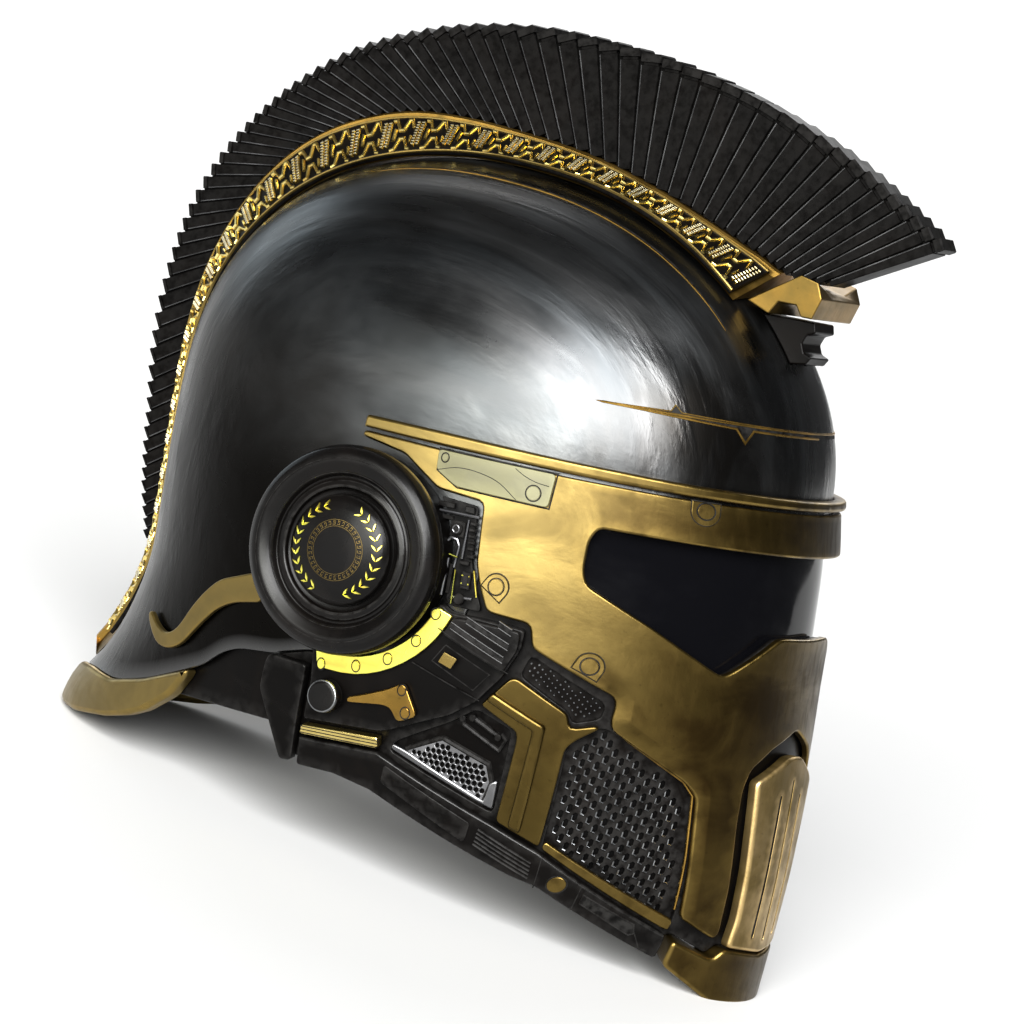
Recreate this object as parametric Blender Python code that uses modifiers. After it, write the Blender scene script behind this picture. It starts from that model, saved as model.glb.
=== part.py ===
"""A Roman-style parade helmet: a black steel skull with a flared nape, a bladed crest on a raised
ridge, a golden faceplate over a dark frame, pierced grilles, and round ear covers.

The pieces are modelled upright, with the origin where the line through both ears crosses the
middle plane, the face towards -Y and the wearer's left towards +X. An empty then tips them all
back, so that the helmet rests on its chin and on the rim of its nape.
Lengths are in metres. A place on the helmet is given by its angle round the upright axis, in
degrees from the front towards the wearer's right, and by its height, in percent of CROWN_RISE
above the ears and of CHIN_DROP below them.
"""

import math

import bpy
import numpy as np
from mathutils import Matrix, Vector
from mathutils.geometry import delaunay_2d_cdt

MM = 0.001

# Head form
FRONT_REACH = 158 * MM
BACK_REACH = 141 * MM
HALF_WIDTH = 107 * MM
PLAN_HALF_WIDTH = 107 * MM
CROWN_RISE = 168 * MM
CHIN_DROP = 162 * MM
ROUNDNESS = 2.25

# Walls and gaps
SKULL_WALL = 3 * MM
FRAME_WALL = 2 * MM
PLATE_WALL = 3 * MM
LENS_WALL = 2.5 * MM
MESH_WALL = 1.6 * MM
LAYER_GAP = 1 * MM
JOINT_GAP = 0.8 * MM
SEAT_GAP = 0.3 * MM
PATCH_STEP = 18 * MM
SLIVER = 0.01 * MM

# Crest and ridge
RIDGE_RISE = 22.6 * MM
RAIL_HALF_WIDTH = 11 * MM
RAIL_DEPTH = 3 * MM
BAND_HALF_WIDTH = 23 * MM
BAND_WALL = 2.2 * MM
KEY_REPEATS = 31
KEY_BAR = 2 * MM
KEY_RISE = 1.2 * MM
BLADE_COUNT = 66
BLADE_LENGTH = 59 * MM
BLADE_HALF_WIDTH = 8 * MM
WEB_HALF_WIDTH = 5 * MM

# Ear covers
EAR_RADIUS = 43.5 * MM
EAR_BORE = 26 * MM
EAR_STANDOFF = 7 * MM
DISC_DEPTH = 15 * MM
CAP_RADIUS = 23 * MM
CAP_DEPTH = 9 * MM
STRIP_WIDTH = 8 * MM
MOUNT_WALL = 4 * MM
VENT_WALL = 3.5 * MM
DIAL_RADIUS = 7.3 * MM
DIAL_DEPTH = 5.5 * MM

# Trim
LIP_WALL = 5 * MM
BAR_WALL = 3.4 * MM
RIM_WALL = 6.5 * MM
RIM_PROUD = 2.5 * MM
CHIN_WALL = 5 * MM
CHIN_FOOT_WALL = 13.5 * MM
CHIN_FOOT_PROUD = 6 * MM
FOOT_FLAT = 2 * MM
NAPE_REACH = 176 * MM
NAPE_DROP = 102.6 * MM
BRACKET_HALF_WIDTH = 23 * MM
LUG_HALF_WIDTH = 11 * MM
LUG_DEPTH = 8.8 * MM
FACET_SAG = 0.7 * MM
GRILLE_PITCH = 10.5 * MM
SLOT_LENGTH = 7 * MM
SLOT_WIDTH = 3.6 * MM
GRILLE_LAP = 1 * MM

# Head form by height: its reach to the front, to the side and to the back, in percent of the
# three driving lengths
FORM = np.array([
    # height, front, side, back
    (-102, 100.0, 61.7, 122.0),
    (-80.0, 101.2, 76.6, 123.0),
    (-64.2, 101.8, 86.0, 124.5),
    (-55.6, 101.8, 89.3, 121.0),
    (-46.3, 101.7, 92.5, 112.5),
    (-37.0, 101.4, 95.3, 106.5),
    (-28.0, 101.0, 97.7, 102.5),
    (-18.5, 100.5, 99.1, 100.0),
    (0, 100, 100, 99.6),
    (16, 99, 99.5, 100),
    (30, 96.5, 98.1, 100),
]) / 100
DOME_SPRING_FRONT, DOME_SPRING_BACK = 0.298, 0.238
DOME_POWER_FRONT, DOME_POWER_BACK = 2.0, 2.4

# Ridge and crest by angle over the head, in degrees from the front: height of the rail above the
# skull in percent of RIDGE_RISE, lean of the blade from the front in degrees, and its length in
# percent of BLADE_LENGTH
CREST = np.array([
    # angle, rail, lean, length
    (44.4, 143, 27, 86),
    (47.5, 92, 36, 97),
    (53.6, 61, 50, 97),
    (61.8, 43, 68, 93),
    (70.5, 40, 86, 90),
    (79.0, 46, 103, 87),
    (87.0, 54, 116, 87),
    (94.7, 65, 127, 84),
    (102.2, 79, 139, 78),
    (108.7, 92, 150, 71),
    (115.2, 98, 162, 64),
    (121.1, 100, 173, 58),
    (127.7, 95, 184, 53),
    (134.5, 85, 194, 48),
    (141.8, 74, 202, 41),
    (149.2, 64, 208, 36),
    (155.8, 57, 211, 32),
    (163.3, 53, 212, 27),
    (171.4, 51, 212, 24),
    (179.6, 51, 213, 19),
    (190.7, 52, 216, 8),
    (197.0, 50, 216, 8),
    (204.6, 46, 216, 8),
    (210.0, 40, 216, 8),
])
RIDGE_ANGLES = (49.5, 206.3)
BAND_ANGLES = (50.5, 204.3)
BLADE_ANGLES = (44.6, 190.0)
RIDGE_STEPS = 36

# The bracket's side view from its angle over the head: out from the skull, and down along it
BRACKET_ANGLE = 48
BRACKET_SIDE = np.array([
    (1.2, -2.4), (15.1, 1.3), (26.6, 4.5), (30.5, 11.9), (27.6, 18.4), (18.9, 22.2), (15.6, 18.4),
    (17, 13.2), (11.6, 7.1), (5.1, 8.2),
]) * MM
BRACKET_DIP = 4 * MM
LUG_ANGLES = (47, 44, 41, 38.6)

# Outlines on the head form: angle, height
SKULL_EDGE = [
    (0, 23.8), (12, 23.8), (24, 23.8), (36, 23.8), (48, 23.8), (60, 23.8), (66, -25), (76, -25.5),
    (88, -26.5), (100, -28.4), (108, -31.2), (118, -32.4), (123, -34.8), (128, -39.8),
    (136, -44.2), (143, -48), (151, -51), (160, -50.5), (168, -51.5), (174, -54), (180, -54.5),
]
RIM = [
    (180, -54.7), (174, -54.2), (168, -51.7), (160, -50.7), (151, -51.2), (143, -48.2),
    (136, -44.4), (131, -41.9), (131.4, -43.8), (135, -50.2), (141.2, -56.4), (145.6, -59.2),
    (151, -61.4), (160, -63.4), (170, -63.4), (180, -62.6),
]
FACEPLATE = [
    (0, 27.6), (29.5, 27.7), (51, 28.1), (75, 28.7), (94.4, 29.4), (94.6, 27.4), (83.3, 25.2), (74.3, 18.6), (64.3, 17.6), (63.6, 3), (62.2, -2.1),
    (60.1, -8.1), (58.7, -8.8), (51.6, -9.5), (50.7, -14.6), (49.9, -15.6), (36, -23.6),
    (35.4, -25.2), (35.6, -29.9), (35, -32.3), (22.1, -42.8), (19.9, -45.9), (17, -77.9),
    (10.7, -82.8), (9.8, -81.2), (10.3, -69), (11.7, -51.5), (11.9, -43), (11, -37.7),
    (6.9, -32.5), (0, -27.6),
]
VISOR = [
    (0, 16.7), (26, 16.9), (43, 17), (44.2, 13.6), (44.3, 6.5), (43.4, 3), (32.5, -4.4),
    (20.7, -13.8), (19.5, -14.2), (18.4, -13.4), (9.5, -3.6), (7.4, -3.4), (0, -3.6),
]
BROW_LIP = [
    (0, 31.3), (28, 31.5), (51, 32.1), (76, 33), (94, 33.3), (94.2, 29.7), (75, 29), (51, 28.4),
    (29.5, 28), (0, 27.9),
]
FRAME_EDGE = [
    (108.5, -33), (109.3, -40), (104, -56.8), (101, -57.2), (89.2, -57.4), (79, -59.2),
    (44.3, -73), (39, -74.6), (18, -88.4), (17.3, -82.9), (10.3, -87.6), (8.8, -84.9), (0, -86.9),
]
CHEEK_OPENING = [
    (36.5, -32.2), (34.9, -32.5), (21.9, -42.9), (19.8, -46), (17.3, -78), (17.6, -81.5),
    (40.5, -65.6), (41, -39.1), (39.6, -36.1),
]
TEMPLE_OPENING = [
    (50.4, -17.2), (36.6, -25.9), (36.8, -30), (41.2, -32.5), (42.1, -29.8), (51.6, -22.9),
]
JAW_OPENING = [
    (75, -46.8), (63, -38.4), (58.2, -33.6), (50.9, -37.2), (50.7, -59.6), (76, -49.2),
]
CHEEK_STRUT = [
    (57.7, -31.7), (53.2, -23.4), (51.8, -23), (42.1, -29.6), (41.3, -33), (37.2, -31.1),
    (36.5, -32.1), (39.8, -36.2), (41.1, -38.7), (40.8, -65.4), (49.8, -60.8), (49.7, -39.3),
    (50, -36.9),
]
JAW_BAR = [
    (99.3, -50.4), (78.1, -49.5), (50.2, -61.4), (40.8, -66), (18, -82.2), (17.8, -84),
    (18, -89.4), (39, -75.6), (44.3, -74), (79, -60.1), (89.2, -58.2), (100, -58.2),
]
JAW_FINS = [(98.6, -46.7), (78, -45.3), (77.6, -48.7), (99, -49.7)]
REAR_TAB = [
    (108, -30.7), (98, -31.3), (101, -57.4), (104.5, -57.7), (110.3, -40.2), (109, -32.8),
]
MOUNT_EDGE = [
    (66.5, -10), (60.5, -10), (52.6, -10.6), (51.9, -11.2), (52, -16), (54.4, -24),
    (58.3, -31.4), (63, -36.2), (75.4, -43.3), (78.2, -44.3), (98.4, -45.7), (97, -34.6),
]
VENT_EDGE = [(60.5, -10.6), (52.9, -11), (52.4, -11.6), (52.4, -16), (54.2, -22.4)]
PORT_EDGE = [
    (73.4, 17.6), (65, 16.8), (64.3, 3), (62.9, -2.1), (60.8, -8.1), (61, -9), (67, -9),
]
TEMPLE_INSERT = [(75.3, 28.6), (75.1, 23.3), (70.1, 20), (51.8, 19.3), (51.2, 28)]
TENDRIL = [
    (112.5, -10.6), (124, -15.8), (127.3, -19.4), (130.6, -24.3), (133.7, -30.4), (135.5, -32.7),
    (137.7, -34), (140.5, -32.8), (143.9, -29.3), (144.7, -31.4), (142.1, -35.6), (139.9, -38),
    (136.6, -38.5), (133, -36.3), (128.3, -29.6), (123.8, -24.1), (119.4, -21.2), (111.5, -19.2),
]
COLLAR = [
    (99, -30), (118, -28), (138, -40), (141, -46), (137, -50), (120, -50.5), (99, -51),
]
CHIN_PLATE = [
    (0, -33.9), (2.5, -34.2), (10.3, -40.6), (8.7, -63.6), (8.1, -77), (8.5, -84.6), (0, -86.6),
]
CHIN_FOOT = [
    (0, -86.9), (8.8, -84.9), (10.3, -87.6), (17, -83.3), (17, -90.2), (8.5, -99.2), (0, -100),
]
CHIN_SLOTS = [(-3.6, -44, -82), (0, -40, -83), (3.6, -44, -82)]
CHIN_SLOT_WIDTH = 2 * MM

STEEL, GOLD, BLACK = "black_steel", "aged_gold", "satin_black"
BRIGHT, GLASS, MESH, KHAKI = "bright_brass", "visor_glass", "steel_mesh", "khaki_enamel"
MATERIALS = {
    # name: colour, metallic, roughness
    STEEL: ((0.05, 0.055, 0.06), 1.0, 0.32),
    GOLD: ((0.40, 0.29, 0.10), 1.0, 0.38),
    BLACK: ((0.014, 0.014, 0.015), 0.0, 0.42),
    BRIGHT: ((0.75, 0.62, 0.10), 1.0, 0.35),
    GLASS: ((0.006, 0.006, 0.008), 0.0, 0.06),
    MESH: ((0.16, 0.17, 0.18), 1.0, 0.4),
    KHAKI: ((0.42, 0.38, 0.16), 0.3, 0.45),
}


def height(percent):
    """Height above the ears, from percent of the crown's rise or of the chin's drop."""
    percent = np.asarray(percent, float) / 100
    return np.where(percent > 0, percent * CROWN_RISE, percent * CHIN_DROP)


def along(rows, at, column):
    """A table's column as one smooth curve through its rows, whose first column rises."""
    keys, values = rows[:, 0], rows[:, column]
    slopes = np.gradient(values, keys)
    at = np.clip(at, keys[0], keys[-1])
    row = np.clip(np.searchsorted(keys, at) - 1, 0, len(keys) - 2)
    span = keys[row + 1] - keys[row]
    t = (at - keys[row]) / span
    return (
        (1 + 2 * t) * (1 - t) ** 2 * values[row]
        + t * (1 - t) ** 2 * span * slopes[row]
        + t * t * (3 - 2 * t) * values[row + 1]
        + t * t * (t - 1) * span * slopes[row + 1]
    )


def level(points):
    """Below zero inside the head form and above zero outside it."""
    across, forward, up = np.abs(points[..., 0]), -points[..., 1], points[..., 2]
    share = np.where(up > 0, up / CROWN_RISE, up / CHIN_DROP)
    reach = np.where(
        forward > 0, FRONT_REACH * along(FORM, share, 1), BACK_REACH * along(FORM, share, 3)
    )
    side = HALF_WIDTH * along(FORM, share, 2)
    to_back = 0.5 - 0.5 * np.cos(np.arctan2(across, forward))
    spring = DOME_SPRING_FRONT + (DOME_SPRING_BACK - DOME_SPRING_FRONT) * to_back
    power = DOME_POWER_FRONT + (DOME_POWER_BACK - DOME_POWER_FRONT) * to_back
    rise = np.clip((up / CROWN_RISE - spring) / (1 - spring), 0, None)
    plan = (across / side) ** ROUNDNESS + (np.abs(forward) / reach) ** ROUNDNESS
    return plan ** (power / ROUNDNESS) + rise**power - 1


def meet(starts, directions):
    """Where rays from inside the head form leave it, found by halving."""
    near = np.zeros(starts.shape[:-1])
    far = np.full(starts.shape[:-1], 3 * FRONT_REACH)
    for _ in range(36):
        middle = (near + far) / 2
        inside = level(starts + middle[..., None] * directions) < 0
        near, far = np.where(inside, middle, near), np.where(inside, far, middle)
    return starts + near[..., None] * directions


def outward(points):
    """The head form's normals at points on it."""
    step = 0.2 * MM
    slope = [level(points + step * axis) - level(points - step * axis) for axis in np.eye(3)]
    slope = np.stack(slope, axis=-1)
    return slope / np.linalg.norm(slope, axis=-1, keepdims=True)


def plan_way(angle):
    """Level directions at these angles, which stretch sideways with the head form."""
    stretch = HALF_WIDTH / PLAN_HALF_WIDTH
    return np.stack([-stretch * np.sin(angle), -np.cos(angle), np.zeros(angle.shape)], axis=-1)


def around(angle, up):
    """Points on the head form at these angles (radians) and heights (metres)."""
    angle, up = np.broadcast_arrays(angle, up)
    zero = np.zeros(angle.shape)
    return meet(np.stack([zero, zero, up], axis=-1), plan_way(angle))


def unroll_radius():
    return (FRONT_REACH + HALF_WIDTH) / 2


def flat(rows):
    """An outline's rows as points on the unrolled head form, in metres."""
    rows = np.array(rows, float)
    return np.stack([np.radians(rows[:, 0]) * unroll_radius(), height(rows[:, 1])], axis=-1)


def rolled(points, lift):
    """Points of the unrolled head form on the real one, this far outside it."""
    places = around(points[:, 0] / unroll_radius(), points[:, 1])
    return places + lift * outward(places)


def whole(rows, middle=0):
    """A half outline with its mirror image about the middle plane at the front, or at the back."""
    other = [(2 * middle - angle, up) for angle, up in rows if angle != middle]
    return list(rows) + other[::-1]


def ear_arc(radius, start, end, steps=7):
    """Rows round the ear's axis at this radius, from one angle to another, up from the front."""
    turn = np.radians(np.linspace(start, end, steps))
    forward, up = radius * np.cos(turn), radius * np.sin(turn)
    zero = np.zeros(steps)
    starts = np.stack([zero, -forward, up], axis=-1)
    sides = meet(starts, np.broadcast_to((-1.0, 0, 0), starts.shape))
    across = -sides[:, 0] * PLAN_HALF_WIDTH / HALF_WIDTH
    angle = np.degrees(np.arctan2(across, -sides[:, 1]))
    share = np.where(up > 0, up / CROWN_RISE, up / CHIN_DROP)
    return list(zip(angle, 100 * share))


def turns_left(points):
    following = np.roll(points, -1, axis=0)
    return np.sum(points[:, 0] * following[:, 1] - following[:, 0] * points[:, 1]) > 0


def moved_in(points, distance):
    """A closed outline with every edge moved inwards by a distance, or outwards below zero."""
    if not turns_left(points):
        points = points[::-1]
    edges = np.roll(points, -1, axis=0) - points
    edges /= np.linalg.norm(edges, axis=1, keepdims=True)
    inward = np.stack([-edges[:, 1], edges[:, 0]], axis=-1)
    before = np.roll(inward, 1, axis=0)
    corner = (inward + before) / np.maximum(1 + np.sum(inward * before, axis=1), 0.35)[:, None]
    return points + distance * corner


def divided(points, step):
    """A closed outline with extra points, so that no edge is longer than a step."""
    parts = []
    for start, end in zip(points, np.roll(points, -1, axis=0)):
        count = max(1, math.ceil(np.linalg.norm(end - start) / step))
        parts.append(start + (end - start) * (np.arange(count) / count)[:, None])
    return np.concatenate(parts)


def inside(points, outline):
    """Which points lie inside a closed outline, by counting the edges on their right."""
    start, end = outline, np.roll(outline, -1, axis=0)
    x, y = points[:, None, 0], points[:, None, 1]
    spans = (start[:, 1] > y) != (end[:, 1] > y)
    rise = np.where(end[:, 1] == start[:, 1], 1, end[:, 1] - start[:, 1])
    at = start[:, 0] + (y - start[:, 1]) / rise * (end[:, 0] - start[:, 0])
    return np.sum(spans & (x < at), axis=1) % 2 == 1


def edge_distance(points, outline):
    """How far points are from the nearest edge of a closed outline."""
    start, end = outline, np.roll(outline, -1, axis=0)
    run = end - start
    t = np.sum((points[:, None] - start) * run, axis=2) / np.sum(run * run, axis=1)
    nearest = start + np.clip(t, 0, 1)[..., None] * run
    return np.linalg.norm(points[:, None] - nearest, axis=2).min(axis=1)


def triangulated(outline, holes, step):
    """Triangles that fill an outline around its holes, with points inside it on a staggered grid.

    They face outwards once they are rolled up, because angles grow towards the wearer's right.
    """
    low, high = outline.min(axis=0), outline.max(axis=0)
    columns = np.arange(low[0] + step / 2, high[0], step)
    lines = np.arange(low[1] + step / 2, high[1], step * 0.87)
    grid = np.array([
        (x + step / 2 * (number % 2), y) for number, y in enumerate(lines) for x in columns
    ]).reshape(-1, 2)
    keep = inside(grid, outline) & (edge_distance(grid, outline) > 0.45 * step)
    for hole in holes:
        keep &= ~inside(grid, hole) & (edge_distance(grid, hole) > 0.3 * step)
    loops = [outline, *holes]
    points = np.concatenate([*loops, grid[keep]])
    edges, first = [], 0
    for loop in loops:
        count = len(loop)
        edges += [(first + k, first + (k + 1) % count) for k in range(count)]
        first += count
    found = delaunay_2d_cdt([Vector(point) for point in points], edges, [], 0, 1e-7)
    points = np.array([tuple(point) for point in found[0]])
    faces = np.array([tuple(face) for face in found[2]])
    corners = points[faces]
    centres = corners.mean(axis=1)
    sides = corners - np.roll(corners, 1, axis=1)
    area = np.abs(np.cross(sides[:, 0], sides[:, 1])) / 2
    longest = np.linalg.norm(sides, axis=2).max(axis=1)
    keep = inside(centres, outline) & (area > SLIVER * longest)
    for hole in holes:
        keep &= ~inside(centres, hole)
    return points, faces[keep][:, ::-1]


def material(name):
    found = bpy.data.materials.get(name)
    if found:
        return found
    colour, metallic, roughness = MATERIALS[name]
    found = bpy.data.materials.new(name)
    found.use_nodes = True
    shader = found.node_tree.nodes["Principled BSDF"]
    shader.inputs["Base Color"].default_value = (*colour, 1)
    shader.inputs["Metallic"].default_value = metallic
    shader.inputs["Roughness"].default_value = roughness
    return found


class Workshop:
    """Holds the collections and the empty that every piece is placed under."""

    def __init__(self):
        for old in list(bpy.data.objects):
            bpy.data.objects.remove(old, do_unlink=True)
        self.parts = bpy.data.collections.new("roman_helmet")
        self.cutters = bpy.data.collections.new("cutters")
        for collection in (self.parts, self.cutters):
            bpy.context.scene.collection.children.link(collection)
        self.rest = bpy.data.objects.new("helmet_rest", None)
        self.parts.objects.link(self.rest)

    def add(self, name, data, finish):
        data.materials.clear()
        data.materials.append(material(finish))
        piece = bpy.data.objects.new(name, data)
        self.parts.objects.link(piece)
        piece.parent = self.rest
        return piece

    def add_mesh(self, name, points, faces, finish):
        mesh = bpy.data.meshes.new(name)
        mesh.from_pydata([tuple(point) for point in points], [], [tuple(f) for f in faces])
        mesh.validate()
        mesh.shade_smooth()
        mesh.set_sharp_from_angle(angle=math.radians(35))
        return self.add(name, mesh, finish)

    def add_left(self, piece):
        """The wearer's left copy of a piece on the right, mirrored about the middle plane."""
        mesh = piece.data.copy()
        mesh.transform(Matrix.Scale(-1, 4, (1, 0, 0)))
        mesh.flip_normals()
        left = piece.copy()
        left.data = mesh
        left.name = piece.name.replace("_right", "_left")
        self.parts.objects.link(left)
        return left


def thicken(piece, wall):
    solidify = piece.modifiers.new("wall", "SOLIDIFY")
    solidify.thickness = wall
    solidify.offset = 1
    return piece


def plate(shop, name, rows, lift, wall, finish, holes=(), gap=JOINT_GAP / 2, step=PATCH_STEP):
    """A piece of the head form cut to an outline, lifted off it, with an even wall."""
    outline = divided(moved_in(flat(rows), gap), step)
    points, faces = triangulated(outline, [divided(hole, step) for hole in holes], step)
    piece = shop.add_mesh(name, rolled(points, lift), faces, finish)
    return thicken(piece, wall)


def enclosed(points, faces):
    """Six times the volume inside these faces, below zero where they look inwards."""
    triples = [(face[0], face[k], face[k + 1]) for face in faces for k in range(1, len(face) - 1)]
    return np.linalg.det(points[np.array(triples)]).sum()


def lofted(shop, name, rings, finish, closed=False):
    """A solid through closed rings of equally many points, with flat ends unless it is a loop."""
    rings = np.asarray(rings)
    count, size = rings.shape[:2]
    faces = []
    for ring in range(count if closed else count - 1):
        here, there = ring * size, (ring + 1) % count * size
        for k in range(size):
            after = (k + 1) % size
            faces.append((here + k, here + after, there + after, there + k))
    if not closed:
        faces.append(tuple(range(size))[::-1])
        faces.append(tuple(range((count - 1) * size, count * size)))
    points = rings.reshape(-1, 3)
    if enclosed(points, faces) < 0:
        faces = [face[::-1] for face in faces]
    return shop.add_mesh(name, points, faces, finish)


def extruded(shop, name, outline, half_width, finish):
    """A flat outline in the middle plane, given forward and up, made this wide to each side."""
    curve = bpy.data.curves.new(name, "CURVE")
    curve.dimensions = "2D"
    curve.fill_mode = "BOTH"
    curve.extrude = half_width
    spline = curve.splines.new("POLY")
    spline.points.add(len(outline) - 1)
    for point, (forward, up) in zip(spline.points, outline):
        point.co = (forward, up, 0, 1)
    spline.use_cyclic_u = True
    piece = shop.add(name, curve, finish)
    piece.rotation_euler = Matrix(((0, 0, -1), (-1, 0, 0), (0, 1, 0))).to_euler()
    return piece


def turned(shop, name, profile, finish, place, steps=24):
    """A turned piece on the ear's side of the helmet, from its outer face at the axis to its back."""
    mesh = bpy.data.meshes.new(name)
    links = [(k, k + 1) for k in range(len(profile) - 1)]
    mesh.from_pydata([(radius, 0, up) for radius, up in profile], links, [])
    piece = shop.add(name, mesh, finish)
    screw = piece.modifiers.new("turn", "SCREW")
    screw.steps = screw.render_steps = steps
    screw.merge_threshold = 0.01 * MM
    screw.use_merge_vertices = True
    piece.location = place
    piece.rotation_euler = (0, math.copysign(math.pi / 2, place[0]), 0)
    return piece


def make_skull(shop):
    """Dome, sides and flared nape in one wall: upright columns from the edge to the crown."""
    half = np.array(SKULL_EDGE)
    angle = np.radians(np.concatenate([half[:, 0], 360 - half[-2:0:-1, 0]]))
    edge = height(np.concatenate([half[:, 1], half[-2:0:-1, 1]])) + JOINT_GAP / 2
    spring = height(30)
    shares = (0, 0.11, 0.23, 0.4, 0.68, 1)
    rows = [around(angle, edge + (spring - edge) * share) for share in shares]
    centre = np.array((0, 0, height(24)))
    for tilt in np.radians((20, 38, 56, 74)):
        ways = np.cos(tilt) * plan_way(angle) + (0, 0, np.sin(tilt))
        rows.append(meet(np.broadcast_to(centre, ways.shape), ways))
    crown = meet(centre[None], np.array([(0, 0, 1.0)]))
    points = np.concatenate([*rows, crown])
    points = points - SKULL_WALL * outward(points)
    faces, count = [], len(angle)
    for row in range(len(rows) - 1):
        for k in range(count):
            after = (k + 1) % count
            here, over = row * count, (row + 1) * count
            faces.append((here + after, here + k, over + k, over + after))
    top = (len(rows) - 1) * count
    faces += [(top + (k + 1) % count, top + k, len(points) - 1) for k in range(count)]
    return thicken(shop.add_mesh("skull_shell", points, faces, STEEL), SKULL_WALL)


def over_the_head(angle):
    """Places on the skull's middle line at these angles over the head (degrees), and normals."""
    turn = np.radians(np.asarray(angle, float))
    zero = np.zeros(turn.shape)
    ways = np.stack([zero, -np.cos(turn), np.sin(turn)], axis=-1)
    places = meet(np.zeros(ways.shape), ways)
    return places, outward(places)


def rail_height(angle):
    return RIDGE_RISE * along(CREST, angle, 1) / 100


def dome_height(places, normals, across):
    """How high the skull stands along each normal, this far to the side of the middle line."""
    starts = places - 60 * MM * normals + np.array((across, 0, 0))
    return np.linalg.norm(meet(starts, normals) - starts, axis=-1) - 60 * MM


def band_line(angle):
    """For each place over the head, the key band's inner face: across and height at both edges."""
    places, normals = over_the_head(angle)
    top = rail_height(angle) - RAIL_DEPTH
    foot = dome_height(places, normals, BAND_HALF_WIDTH) + 2 * LAYER_GAP
    inner = np.stack([np.full(len(top), RAIL_HALF_WIDTH + SEAT_GAP), top], axis=-1)
    outer = np.stack([np.full(len(top), BAND_HALF_WIDTH), foot], axis=-1)
    slope = (outer - inner) / np.linalg.norm(outer - inner, axis=-1, keepdims=True)
    facing = np.stack([-slope[:, 1], slope[:, 0]], axis=-1)
    return places, normals, inner, outer, facing


def section_places(places, normals, across, up, side=-1):
    """Points of a cross-section over the head, from distances across and up the normal."""
    sideways = side * np.asarray(across)[..., None] * np.array((1.0, 0, 0))
    return places + sideways + np.asarray(up)[..., None] * normals


def make_ridge(shop):
    """The raised ridge with its rail, one solid from the brow bracket down to the nape."""
    angle = np.array([RIDGE_ANGLES[0], *np.linspace(*BAND_ANGLES, RIDGE_STEPS), RIDGE_ANGLES[1]])
    places, normals, inner, outer, facing = band_line(angle)
    shoulder, foot = inner - LAYER_GAP * facing, outer - LAYER_GAP * facing
    rail = rail_height(angle)
    seats = [
        dome_height(places, normals, across) + 1.5 * LAYER_GAP
        for across in (RAIL_HALF_WIDTH, 0, RAIL_HALF_WIDTH)
    ]
    edge = np.full(len(angle), RAIL_HALF_WIDTH)
    half = [(edge, rail), (shoulder[:, 0], shoulder[:, 1]), (foot[:, 0], foot[:, 1])]
    ring = [section_places(places, normals, across, up) for across, up in half]
    ring.append(section_places(places, normals, edge, seats[0]))
    ring.append(section_places(places, normals, 0 * edge, seats[1]))
    ring.append(section_places(places, normals, edge, seats[2], side=1))
    ring += [section_places(places, normals, across, up, side=1) for across, up in half[::-1]]
    return lofted(shop, "crest_ridge", np.stack(ring, axis=1), GOLD)


def make_key_band(shop):
    angle = np.linspace(*BAND_ANGLES, RIDGE_STEPS)
    places, normals, inner, outer, facing = band_line(angle)
    corners = [outer, inner, inner + BAND_WALL * facing, outer + BAND_WALL * facing]
    ring = [section_places(places, normals, c[:, 0], c[:, 1]) for c in corners]
    return lofted(shop, "key_band_right", np.stack(ring, axis=1), BLACK)


def make_key_relief(shop):
    """One raised bar that turns up and down along the band as a running key."""
    turns = [(0.10, 0.86), (0.10, 0.14), (0.56, 0.14), (0.56, 0.86)]
    steps = [(k + along_share, across) for k in range(KEY_REPEATS) for along_share, across in turns]
    steps = np.array(steps)
    ends = BAND_ANGLES
    angle = ends[0] + (ends[1] - ends[0]) * steps[:, 0] / KEY_REPEATS
    places, normals, inner, outer, facing = band_line(angle)
    width = np.linalg.norm(outer - inner, axis=-1)
    slope = (outer - inner) / width[:, None]
    middle = inner + (steps[:, 1] * width)[:, None] * slope
    degree = np.radians(1) * np.linalg.norm(places, axis=-1)
    way = np.stack([angle * degree, steps[:, 1] * width], axis=-1)
    run = np.diff(way, axis=0, prepend=way[:1] - (way[1] - way[0]))
    ahead = np.roll(run, -1, axis=0)
    ahead[-1] = run[-1]
    bend = run / np.linalg.norm(run, axis=1)[:, None] + ahead / np.linalg.norm(ahead, axis=1)[:, None]
    bend /= np.linalg.norm(bend, axis=1)[:, None]
    cosine = np.sum(bend * run, axis=1) / np.linalg.norm(run, axis=1)
    reach = KEY_BAR / 2 / cosine
    rings = []
    for sign, rise in ((1, 0), (0, KEY_RISE), (-1, 0)):
        shift_along, shift_across = -sign * reach * bend[:, 1], sign * reach * bend[:, 0]
        here, here_normals, here_inner, _, here_facing = band_line(angle + shift_along / degree)
        spot = here_inner + (steps[:, 1] * width + shift_across)[:, None] * slope
        spot += (BAND_WALL + LAYER_GAP + rise) * here_facing
        rings.append(section_places(here, here_normals, spot[:, 0], spot[:, 1]))
    return lofted(shop, "key_relief_right", np.stack(rings, axis=1), BRIGHT)


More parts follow.
